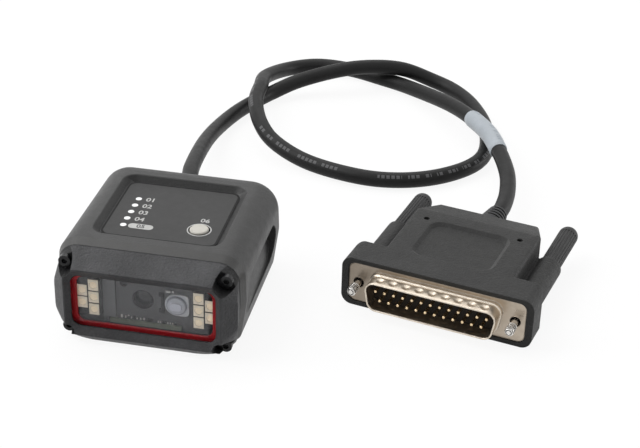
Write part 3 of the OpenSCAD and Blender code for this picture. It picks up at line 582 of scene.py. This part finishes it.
# The phosphor's glow is painted light that brightens the dies in the window's shade.
phosphor = surface("phosphor", (0.78, 0.64, 0.44), (0.90, 0.78, 0.58), (0.35, 0.5),
                   scales=(6000.0, 1400.0), radius=0, Emission_Color=(0.84, 0.72, 0.54, 1),
                   Emission_Strength=0.29)
board_green = surface("board_green", (0.020, 0.060, 0.030), (0.035, 0.095, 0.050), (0.35, 0.5),
                      scales=(2600.0, 800.0), radius=0)
board_olive = surface("board_olive", (0.28, 0.32, 0.23), (0.40, 0.44, 0.33), (0.45, 0.6),
                      scales=(2600.0, 500.0), radius=0)
board_grey = surface("board_grey", (0.026, 0.029, 0.030), (0.045, 0.048, 0.050), (0.40, 0.55),
                     scales=(3000.0, 300.0), radius=0.0002, **matt)
engine_grey = engine_finish()
barrel_black = surface("barrel_black", (0.006, 0.006, 0.007), (0.012, 0.012, 0.013), (0.36, 0.5),
                       scales=(3000.0, 200.0), radius=0.0002, **matt)
chip_dark = surface("chip_dark", (0.010, 0.010, 0.011), (0.020, 0.020, 0.022), (0.3, 0.45),
                    radius=0, **matt)
part_pale = surface("part_pale", (0.84, 0.84, 0.82), (0.94, 0.94, 0.91), (0.3, 0.5),
                    scales=(5000.0, 900.0), radius=0)
cream_plastic = surface("cream_plastic", (0.66, 0.62, 0.52), (0.74, 0.70, 0.60), (0.4, 0.55),
                        radius=0.0002)
switch_black = surface("switch_black", (0.014, 0.014, 0.015), (0.028, 0.028, 0.030), (0.4, 0.55),
                       radius=0.0002)
lens_dark = surface("lens_dark", (0.003, 0.003, 0.006), (0.006, 0.006, 0.011), (0.05, 0.10),
                    radius=0, bump=0.0, Specular_IOR_Level=0.35)
aimer_pale = aimer_finish()
clear_pane = pane_finish()
steel = surface("steel", grey(0.48), (0.62, 0.62, 0.61), (0.22, 0.38), drawn_metal,
                radius=0.0001, bump=0.05, Metallic=1.0)
brass = surface("brass", (0.55, 0.38, 0.15), (0.68, 0.50, 0.22), (0.25, 0.4), drawn_metal,
                radius=0.0001, bump=0.05, Metallic=1.0)


# Finishes of the plug and the lead

def plated_finish():
    """Plated sheet with painted shade that makes the flange duller than the drawn shell, most of all at the
    flange's left end.
    """
    finish = surface("plated", (0.54, 0.465, 0.375), (0.80, 0.70, 0.58), (0.26, 0.40), drawn_metal,
                     scales=(900.0, 260.0), edge=(0.84, 0.78, 0.70), radius=0.0007, bump=0.05, Metallic=1.0)
    tree = finish.node_tree
    across, along = plug_mm(tree)
    # Painted shade: the flange is darkened, more towards its left end.
    flange_front, middle_shade_share, shade_share_per_mm = -0.3, 0.66, 0.007
    share = calc(tree, "SUBTRACT", middle_shade_share, product(tree, across, shade_share_per_mm))
    flange = calc(tree, "GREATER_THAN", along, flange_front)
    return painted(finish, product(tree, flange, share), (0.18, 0.15, 0.12))


def hood_finish():
    """Grained grey moulding with painted light on the slope at the front and right of its recess."""
    finish = surface("hood_grey", grey(0.027), (0.039, 0.039, 0.038), (0.46, 0.60), scales=(1700.0, 70.0),
                     edge=(0.085, 0.085, 0.084), radius=0.0005, bump=0.8, depth=0.00035, **matt)
    tree = finish.node_tree
    across, along = plug_mm(tree)
    # Painted light: the recess slope is paler at its front and right.
    slack, slope_light_share = 0.2, 0.6
    front = calc(tree, "LESS_THAN", along, hood_recess_y - hood_recess_half[1] + hood_recess_radius / 2)
    right = calc(tree, "GREATER_THAN", across, hood_recess_half[0] - hood_recess_run - slack)
    slope = border_mask(tree, (across, along), (0.0, hood_recess_y), hood_recess_half, hood_recess_radius,
                        0.0, hood_recess_run)
    painted_slope_light = product(tree, slope, calc(tree, "MAXIMUM", front, right))
    return painted(finish, product(tree, painted_slope_light, slope_light_share), (0.085, 0.085, 0.084))


def printed(finish, letters, words, side, high, colour, stretch=(0.0, 1.0)):
    """Rows of small printed dashes along the lead, by its own length and turn."""
    tree = finish.node_tree
    split = add(tree, "SeparateXYZ")
    tree.links.new(add(tree, "UVMap", uv_map="along").outputs["UV"], split.inputs[0])
    length, turn = split.outputs[0], split.outputs[1]
    ink_share = 0.6
    mask = product(tree, between(tree, turn, side - high, side + high), between(tree, length, *stretch))
    for per_metre, filled, bare in ((letters, 0.68, 0.12), (words, 0.8, 0.22)):
        cell = calc(tree, "MULTIPLY", length, per_metre)
        draw = add(tree, "TexWhiteNoise", noise_dimensions="1D")
        tree.links.new(calc(tree, "FLOOR", cell), draw.inputs["W"])
        mask = product(tree, mask, calc(tree, "LESS_THAN", calc(tree, "FRACT", cell), filled),
                       calc(tree, "GREATER_THAN", draw.outputs["Value"], bare))
    return painted(finish, product(tree, mask, ink_share), colour)


plated = plated_finish()
nickel = surface("nickel", (0.62, 0.60, 0.57), (0.78, 0.76, 0.73), (0.18, 0.30), drawn_metal,
                 radius=0.0001, bump=0.04, Metallic=1.0)
pin_gold = surface("pin_gold", (0.68, 0.52, 0.32), (0.82, 0.66, 0.44), (0.20, 0.34), drawn_metal,
                   scales=(2500.0, 700.0), radius=0, bump=0.03, Metallic=1.0)
insulator_black = surface("insulator_black", (0.010, 0.008, 0.007), (0.020, 0.017, 0.015), (0.4, 0.55),
                          radius=0.0002, **matt)
hood_grey = hood_finish()
knob_grey = surface("knob_grey", grey(0.034), grey(0.050), (0.44, 0.58), scales=(3000.0, 160.0),
                    edge=grey(0.075), radius=0.0002, **matt)
boot_grey = surface("boot_grey", (0.028, 0.028, 0.029), (0.044, 0.044, 0.045), (0.42, 0.56),
                    scales=(2600.0, 200.0), edge=grey(0.065), radius=0.0003, **matt)
cable_grey = surface("cable_grey", grey(0.011), grey(0.016), (0.38, 0.52), scales=(1800.0, 120.0),
                     radius=0, bump=0.1, **matt)
printed(cable_grey, letters=640.0, words=105.0, side=0.36, high=0.036, colour=(0.16, 0.16, 0.165),
        stretch=(0.19, 0.37))
sleeve_white = surface("sleeve_white", (0.325, 0.355, 0.385), (0.41, 0.445, 0.48), (0.38, 0.5),
                       scales=(1500.0, 160.0), radius=0, bump=0.1)
printed(sleeve_white, letters=760.0, words=150.0, side=0.30, high=0.04, colour=(0.20, 0.23, 0.27))


# Lead

def at_plug(across, along):
    """A place given across and along the plug."""
    return plug_place + Matrix.Rotation(plug_turn, 3, "Z") @ Vector((across, along, 0))


# Route of the cable: out of the bushing, one turn on the floor, and into the plug's boot
route = [Vector(point) for point in (
    (-7, 40.25, 13), (-7, 46, 13), (-9, 56.5, 12), (-11, 74.5, 9), (-12, 90.5, 6), (-11.4, 105.5, 3.5),
    (-9, 117, 2.7), (-5.5, 125.5, 2.7), (-0.5, 134.5, 3), (8.1, 141.4, 5.6), (21.1, 147, 8.6),
    (32, 152.4, 8.9), (43.3, 156.2, 7.6), (54.4, 157, 4), (63.4, 152.5, 2.7), (71.2, 141.5, 2.7),
    (77.5, 125.3, 2.7), (79.4, 108, 2.7), (75.8, 96.4, 2.7), (66.1, 86.5, 2.7), (53.8, 81, 2.7),
    (40.2, 80.5, 2.7), (22.9, 85.5, 3), (10.1, 92.5, 5.2), (3, 101, 7.6), (-1.7, 114, 9),
    (-3, 127.2, 8.8), (-4, 139.6, 6.6), (0.6, 154.8, 3.3), (10.5, 162, 2.7), (23.1, 161.5, 2.7),
    (36.3, 156.5, 2.7), (48.1, 149.5, 3.4), (65.6, 131, 7), (78.4, 112, 8.9), (84.5, 98, 8.6),
    (88.6, 84.2, 8.1), (89.9, 72.2, 7.8))]
route += [at_plug(0, boot_end + boot_lead_in), at_plug(0, boot_end)]
route_last = len(route) - 1


def route_at(count):
    """A point of the smooth curve through the route, by a count of the route's points."""
    whole = min(int(count), route_last - 1)
    part = count - whole
    before, start = route[max(whole - 1, 0)], route[whole]
    end, after = route[whole + 1], route[min(whole + 2, route_last)]
    bend = (2 * before - 5 * start + 4 * end - after) * part ** 2
    swing = (3 * start - before - 3 * end + after) * part ** 3
    return 0.5 * (2 * start + (end - before) * part + bend + swing) * mm


def within(point):
    """Keeps a point of the smooth lead inside the solid's box, which its chords fall short of by a hair."""
    return Vector([min(max(value, low), high) for value, low, high in zip(point, *cad_box)])


def map_along(mesh, runs, sides):
    """Keeps the way along a tube, in metres, and the turn round it, from 0 to 1, as a UV map."""
    walls = (len(runs) - 1) * sides
    layer = mesh.uv_layers.new(name="along")
    for face in mesh.polygons:
        on_wall = face.index < walls
        side = face.index % sides
        for corner, loop in enumerate(face.loop_indices):
            step = mesh.loops[loop].vertex_index // sides
            turn = (side + (corner in (1, 2))) / sides if on_wall else 0.0
            layer.data[loop].uv = (runs[step], turn)


def tube(name, start, end, steps, radius, sides, lip=0.0):
    """A round tube along part of the route; also gives its middle line and its length."""
    path = [route_at(start + (end - start) * step / steps) for step in range(steps + 1)]
    angles = [2 * math.pi * side / sides for side in range(sides)]
    points, runs, run = [], [], 0.0
    for step, middle in enumerate(path):
        ahead = (path[min(step + 1, steps)] - path[max(step - 1, 0)]).normalized()
        # The lead leaves its bushing straight back
        if start == 0 and step == 0:
            ahead = Vector((0, 1, 0))
        across = ahead.cross(Vector((0, 0, 1))).normalized()
        over = across.cross(ahead)
        run += (middle - path[step - 1]).length if step else 0.0
        runs.append(run)
        reach = radius - (lip if step in (0, steps) else 0.0)
        for angle in angles:
            points.append(within(middle + reach * (math.cos(angle) * across + math.sin(angle) * over)))
    faces = []
    for step in range(steps):
        near, far = step * sides, (step + 1) * sides
        for side in range(sides):
            beside = (side + 1) % sides
            faces.append((near + side, near + beside, far + beside, far + side))
    ends = [tuple(reversed(range(sides))), tuple(range(steps * sides, (steps + 1) * sides))]
    mesh = bpy.data.meshes.new(name)
    mesh.from_pydata(points, [], faces + ends)
    map_along(mesh, runs, sides)
    mesh.validate()
    piece = bpy.data.objects.new(name, mesh)
    scene.collection.objects.link(piece)
    return piece, path, run


def make_lead():
    """The cable and the white sleeve on it."""
    steps = route_last * jacket_steps
    lead, path, run = tube("lead", 0, route_last, steps, jacket_radius * mm, jacket_sides)
    settle(lead, "lead", cable_grey, angle=60)
    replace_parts(lead, "cable")
    wrap, _, _ = tube("lead_sleeve", *sleeve_span, sleeve_steps, sleeve_radius * mm, sleeve_sides,
                      lip=sleeve_lip * mm)
    settle(wrap, "lead_sleeve", sleeve_white, angle=60)
    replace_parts(wrap, "cable_sleeve")
    return lead, wrap, path, run


# Mouldings whose rounded forms are drawn smooth

def smooth_copy(node, finish, angle=moulding_angle):
    """A moulding's own solid with its facets blended into one another."""
    piece = bpy.data.objects.new(node + "_moulding", nodes[node].data.copy())
    scene.collection.objects.link(piece)
    take(piece)
    open_mesh()
    bpy.ops.mesh.remove_doubles(threshold=weld_gap * mm)
    bpy.ops.mesh.dissolve_degenerate(threshold=least_edge * mm)
    bpy.ops.mesh.customdata_custom_splitnormals_clear()
    close_mesh()
    settle(piece, node + "_moulding", finish, angle=angle)
    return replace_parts(piece, node)


def slope_recesses(piece):
    """Lets the floor of each finger recess rise towards its foot and its front end."""
    near_floor = 0.02
    for point in piece.data.vertices:
        x, y, z = point.co / mm
        on_floor = abs(abs(x) - recess_floor) < near_floor
        if on_floor and recess_y[0] < y < recess_y[1] and recess_z[0] < z < recess_z[1]:
            low = (recess_z[1] - z) / (recess_z[1] - recess_z[0])
            fore = (recess_y[1] - y) / (recess_y[1] - recess_y[0])
            point.co.x = math.copysign(recess_floor + recess_rise * low + recess_fore * fore, x) * mm
    piece.data.update()


def lift_foot_ends(piece):
    """Lets the bezel's lower front edge curve up towards the wells of its two lower screws."""
    take(piece)
    bpy.ops.object.mode_set(mode="EDIT")
    for cut in foot_cuts:
        for side in (-1, 1):
            bpy.ops.mesh.select_all(action="SELECT")
            bpy.ops.mesh.bisect(plane_co=(side * cut * mm, 0, 0), plane_no=(1, 0, 0))
    close_mesh()
    for point in piece.data.vertices:
        x, y, z = point.co / mm
        out = abs(x) - foot_flat
        if out > 0 and y < mouth_y - foot_fore and z < foot_reach:
            rise = foot_rise * (min(out, foot_run) / foot_run) ** 2 - foot_fall * max(out - foot_run, 0)
            point.co.z = (z + max(rise, 0) * (1 - z / foot_reach)) * mm
    piece.data.update()
    take(piece)
    bpy.ops.object.shade_smooth_by_angle(angle=math.radians(moulding_angle))


# Marks on the panel

def raise_number(number, x, y, high, finish, lift=0.0):
    """A plain printed number on the panel."""
    deselect()
    bpy.ops.object.text_add(location=(x * mm, y * mm, (label_top + lift) * mm))
    words = bpy.context.object
    words.data.body = "0%d" % number
    words.data.size = high * mm / capital_share
    words.data.align_x = "CENTER"
    words.data.align_y = "CENTER"
    words.data.extrude = number_thick * mm
    words.data.offset = number_bold * mm
    words.data.resolution_u = 4
    bpy.ops.object.convert(target="MESH")
    settle(bpy.context.object, "panel_number_%d" % number, finish, angle=20)


def make_field(y):
    """The pale field with round ends at the lowest light, and the number on it."""
    deselect()
    bpy.ops.mesh.primitive_cylinder_add(vertices=48, radius=field_radius * mm, depth=field_thick * mm,
                                        location=(field_x * mm, y * mm, (label_top + field_lift) * mm))
    field = bpy.context.object
    on_middle = least_edge * mm
    for point in field.data.vertices:
        if abs(point.co.x) > on_middle:
            point.co.x += math.copysign(field_stretch * mm, point.co.x)
    settle(field, "panel_field", mark_grey)
    raise_number(light_count, field_x, y, field_number_high, label_grey, field_number_lift)


def make_button_ring():
    """The thin ring printed round the button."""
    deselect()
    bpy.ops.mesh.primitive_circle_add(vertices=72, radius=ring_radius * mm, fill_type="NGON",
                                      location=(button_x * mm, button_y * mm, (label_top + ring_lift) * mm))
    ring = bpy.context.object
    open_mesh()
    bpy.ops.mesh.inset(thickness=ring_width * mm)
    bpy.ops.mesh.delete(type="FACE")
    bpy.ops.mesh.select_all(action="SELECT")
    bpy.ops.mesh.extrude_region_move(TRANSFORM_OT_translate={"value": (0, 0, -ring_thick * mm)})
    face_outward()
    close_mesh()
    settle(ring, "button_ring", mark_grey)


def make_marks():
    """Numbers beside the lights and the button, the field and the ring."""
    lights = [light_y + ((light_count - 1) / 2 - k) * light_pitch for k in range(light_count)]
    for k, y in enumerate(lights[:-1]):
        raise_number(k + 1, light_x + number_gap, y, number_high, mark_grey)
    raise_number(light_count + 1, button_x + button_number_at[0], button_y + button_number_at[1],
                 button_number_high, mark_grey)
    make_field(lights[-1])
    make_button_ring()


# Behind the window

def make_lamp_dies():
    """The round phosphor fill in each lamp's dish."""
    places = [(lamp_x, k * lamp_pitch) for k in (-1, 0, 1)]
    places += [(lamp_x + lamp_step, k * lamp_pitch / 2) for k in (-1, 1)]
    for side, name in ((-1, "left"), (1, "right")):
        parts = []
        for x, z in places:
            deselect()
            bpy.ops.mesh.primitive_cylinder_add(
                vertices=32, radius=die_radius * mm, depth=die_thick * mm, rotation=(math.pi / 2, 0, 0),
                location=(side * x * mm, (lamp_face + die_thick) * mm, (optic_z + z) * mm))
            soften(die_edge)
            parts.append(bpy.context.object)
        settle(join(parts), "lamp_dies_" + name, phosphor)


def chip(x, z, wide, high, deep, edge):
    """One small part on the face of the optics plate, with softened edges."""
    deselect()
    bpy.ops.mesh.primitive_cube_add(size=1, location=(x * mm, (frame_face - deep / 2) * mm, z * mm))
    part = bpy.context.object
    part.scale = (wide * mm, deep * mm, high * mm)
    bpy.ops.object.transform_apply(location=False, rotation=False, scale=True)
    soften(edge)
    return part


def make_chips(name, finish, places, deep, edge):
    """Small parts of one kind as one piece; a place is x, z, width and height."""
    settle(join([chip(*place, deep, edge) for place in places]), name, finish)


def make_board_parts():
    """Small pale and dark parts in a row over the board's front edge."""
    pale = ((-7.6, 6.7, 0.55, 1.0), (-6.5, 6.6, 0.35, 0.7), (-5.6, 7.1, 0.4, 0.4), (-4.8, 6.6, 0.35, 0.6),
            (-3.2, 6.5, 0.35, 0.5), (-2.2, 6.5, 0.45, 0.6), (-1.2, 6.6, 0.5, 0.7), (2.9, 6.3, 0.4, 0.5),
            (3.5, 6.3, 0.3, 0.5), (5.6, 6.3, 0.3, 0.5), (6.3, 6.3, 0.3, 0.5), (7.0, 6.3, 0.3, 0.5))
    dark = ((-4.0, 6.7, 0.9, 0.9), (0.6, 6.5, 1.4, 0.9), (4.5, 6.4, 1.1, 0.8), (8.0, 6.4, 0.6, 0.8))
    make_chips("board_parts_pale", part_pale, pale, deep=0.3, edge=0.06)
    make_chips("board_parts_dark", chip_dark, dark, deep=0.4, edge=0.08)


def make_aimer_parts():
    """The dark stop between the two lenses and the pale tabs over the aiming lens."""
    stop = ((4.3, optic_z, 1.0, 6.6), (4.0, 15.4, 1.6, 1.2), (4.0, 10.2, 1.6, 1.2))
    make_chips("aimer_stop", chip_dark, stop, deep=0.5, edge=0.15)
    wide_tab = chip(5.9, 16.7, 1.3, 0.55, deep=0.5, edge=0.12)
    small_tab = chip(7.3, 16.7, 0.5, 0.5, deep=0.4, edge=0.1)
    settle(join([wide_tab, small_tab]), "aimer_tabs", part_pale)


# Thumbscrews

def turned(radius, start, end, edge):
    """A round length of the screw along +Y, with softened ends."""
    deselect()
    bpy.ops.mesh.primitive_cylinder_add(
        vertices=40, radius=radius * mm, depth=(end - start) * mm, rotation=(math.pi / 2, 0, 0),
        location=(0, (start + end) / 2 * mm, 0))
    rod = bpy.context.object
    bpy.ops.object.transform_apply(location=True, rotation=True, scale=True)
    wall_corners = 4
    for face in rod.data.polygons:
        face.select = len(face.vertices) > wall_corners
    bpy.ops.object.mode_set(mode="EDIT")
    bpy.ops.mesh.select_mode(type="FACE")
    bpy.ops.mesh.bevel(offset=edge * mm, segments=3)
    close_mesh()
    return rod


def wound_thread():
    """The ridge of the thread, wound round the screw's axis."""
    deselect()
    bpy.ops.mesh.primitive_circle_add(vertices=4, radius=1 * mm)
    thread = bpy.context.object
    foot = jack_tip[0] - thread_sunk
    land_end = thread_flank + thread_land
    ridge = ((foot, 0), (thread_crest, thread_flank), (thread_crest, land_end),
             (foot, land_end + thread_flank))
    for point, (reach, along) in zip(thread.data.vertices, ridge):
        point.co = (reach * mm, (thread_start + along) * mm, 0)
    wind = thread.modifiers.new("thread", "SCREW")
    wind.axis = "Y"
    wind.screw_offset = thread_pitch * mm
    wind.iterations = thread_turns
    wind.steps = wind.render_steps = 36
    wind.use_merge_vertices = True
    wind.merge_threshold = weld_gap * mm
    apply_modifiers(thread)
    open_mesh()
    bpy.ops.mesh.fill_holes(sides=6)
    face_outward()
    close_mesh()
    return thread


def make_jackscrew(side, name):
    """Shank, neck and a tip with a cut thread."""
    thread = wound_thread()
    screw = join([*(turned(*length) for length in (jack_tip, jack_neck, jack_shank)), thread])
    screw.location = at_plug(side * jack_x, 0) * mm
    screw.rotation_euler = (0, 0, plug_turn)
    settle(screw, "jackscrew_%s_threaded" % name, nickel, body="thumbscrew_" + name)
    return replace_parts(screw, "jackscrew_" + name)


# Light and floor, in metres and watts

def seen_white(tree):
    """A mask of the rays that show the white surround."""
    rays = add(tree, "LightPath")
    seen = calc(tree, "MAXIMUM", rays.outputs["Is Camera Ray"], rays.outputs["Is Glossy Ray"])
    return calc(tree, "MAXIMUM", seen, rays.outputs["Is Transmission Ray"])


def floor_finish():
    """White that keeps a faint shadow and can be seen through from below."""
    shade, glow_share = 0.5, 0.9
    finish = bpy.data.materials.new("floor_white")
    finish.use_nodes = True
    tree = finish.node_tree
    link = tree.links.new
    shader = tree.nodes["Principled BSDF"]
    shader.inputs["Roughness"].default_value = 0.9
    shader.inputs["Specular IOR Level"].default_value = 0.0
    seen = seen_white(tree)
    link(mixed(tree, seen, grey(shade), grey(1.0)), shader.inputs["Base Color"])
    glow = add(tree, "Emission", ins={"Color": (1, 1, 1, 1), "Strength": 1.0})
    mix = add(tree, "MixShader")
    link(product(tree, seen, glow_share), mix.inputs[0])
    link(shader.outputs[0], mix.inputs[1])
    link(glow.outputs[0], mix.inputs[2])
    open_below = add(tree, "MixShader")
    link(add(tree, "NewGeometry").outputs["Backfacing"], open_below.inputs[0])
    link(mix.outputs[0], open_below.inputs[1])
    link(add(tree, "BsdfTransparent").outputs[0], open_below.inputs[2])
    link(open_below.outputs[0], tree.nodes["Material Output"].inputs["Surface"])
    return finish


def make_floor():
    """A wide floor a hair under the part."""
    size, drop = 6, 0.0002
    deselect()
    bpy.ops.mesh.primitive_plane_add(size=size, location=(0, 0, -drop))
    floor = bpy.context.object
    floor.name = "floor"
    floor.data.materials.append(floor_finish())


def make_surround():
    """White where it is seen; as light it is strongest from above, behind and the left."""
    level, least = 0.34, 0.08
    from_left, from_back, from_top = 0.12, 0.30, 0.30
    world = bpy.data.worlds.new("surround")
    scene.world = world
    world.use_nodes = True
    tree = world.node_tree
    tree.nodes.clear()
    link = tree.links.new
    aim = add(tree, "SeparateXYZ")
    link(add(tree, "TexCoord").outputs["Generated"], aim.inputs[0])
    x, y, z = aim.outputs
    rise = calc(tree, "ADD", product(tree, z, from_top), product(tree, y, from_back))
    rise = calc(tree, "SUBTRACT", rise, product(tree, x, from_left))
    dim = add(tree, "Background", ins={"Color": (1, 1, 1, 1)})
    link(calc(tree, "MAXIMUM", calc(tree, "ADD", rise, level), least), dim.inputs["Strength"])
    white = add(tree, "Background", ins={"Color": (1, 1, 1, 1), "Strength": 1.0})
    mix = add(tree, "MixShader")
    link(seen_white(tree), mix.inputs[0])
    link(dim.outputs[0], mix.inputs[1])
    link(white.outputs[0], mix.inputs[2])
    link(mix.outputs[0], add(tree, "OutputWorld").inputs[0])


def make_lamps():
    """Soft square lamps, all aimed at the middle of the part."""
    target = Vector((0.03, 0.05, 0.0))
    lamps = (("key", (-0.42, -0.02, 0.55), 0.5, 2.9), ("back", (-0.10, 0.50, 0.70), 0.6, 1.6),
             ("left", (-0.80, -0.15, 0.20), 0.4, 1.5), ("right", (0.66, 0.32, 0.12), 0.3, 1.5))
    for name, place, size, watts in lamps:
        light = bpy.data.lights.new(name, "AREA")
        light.shape = "SQUARE"
        light.size = size
        light.energy = watts
        lamp = bpy.data.objects.new(name, light)
        scene.collection.objects.link(lamp)
        lamp.location = place
        lamp.rotation_euler = (target - lamp.location).to_track_quat("-Z", "Y").to_euler()


# The whole

make_camera()
lead, wrap, lead_path, lead_length = make_lead()
make_floor()
make_surround()
make_lamps()
scene.view_settings.view_transform = "Standard"

hood = [smooth_copy(name, hood_grey) for name in ("hood_top", "hood_bottom")]
slope_recesses(smooth_copy("housing", housing_grey, angle=housing_angle))
lift_foot_ends(smooth_copy("front_bezel", bezel_grey))
jacks = [make_jackscrew(-1, "left"), make_jackscrew(1, "right")]
make_marks()
make_lamp_dies()
make_board_parts()
make_aimer_parts()

finishes = {
    screw_black: ("bezel_screws",),
    ring_red: ("window_ring",),
    clear_pane: ("window_pane",),
    panel_grey: ("overlay_label",),
    light_white: ("status_light_pipe",),
    cap_grey: ("tune_button",),
    switch_black: ("button_switch",),
    lamp_cream: ("lamps_left", "lamps_right"),
    board_grey: ("lamp_board_left", "lamp_board_right"),
    board_green: ("status_board", "imager_board"),
    board_olive: ("main_board",),
    cream_plastic: ("cable_header", "status_lamps", "aimer_lamp"),
    steel: ("board_screws", "engine_screws", "hood_screws"),
    brass: ("mounting_inserts",),
    engine_grey: ("engine_frame",),
    barrel_black: ("lens_barrel",),
    chip_dark: ("image_sensor",),
    lens_dark: ("lens_glass",),
    aimer_pale: ("aimer_lens",),
    boot_grey: ("cable_bushing", "plug_boot"),
    plated: ("plug_shell", "plug_back_shell"),
    insulator_black: ("plug_insulator",),
    pin_gold: ("contact_pins",),
    knob_grey: ("thumb_knob_left", "thumb_knob_right"),
}
for finish, names in finishes.items():
    for name in names:
        nodes[name].data.materials.clear()
        nodes[name].data.materials.append(finish)

deselect()
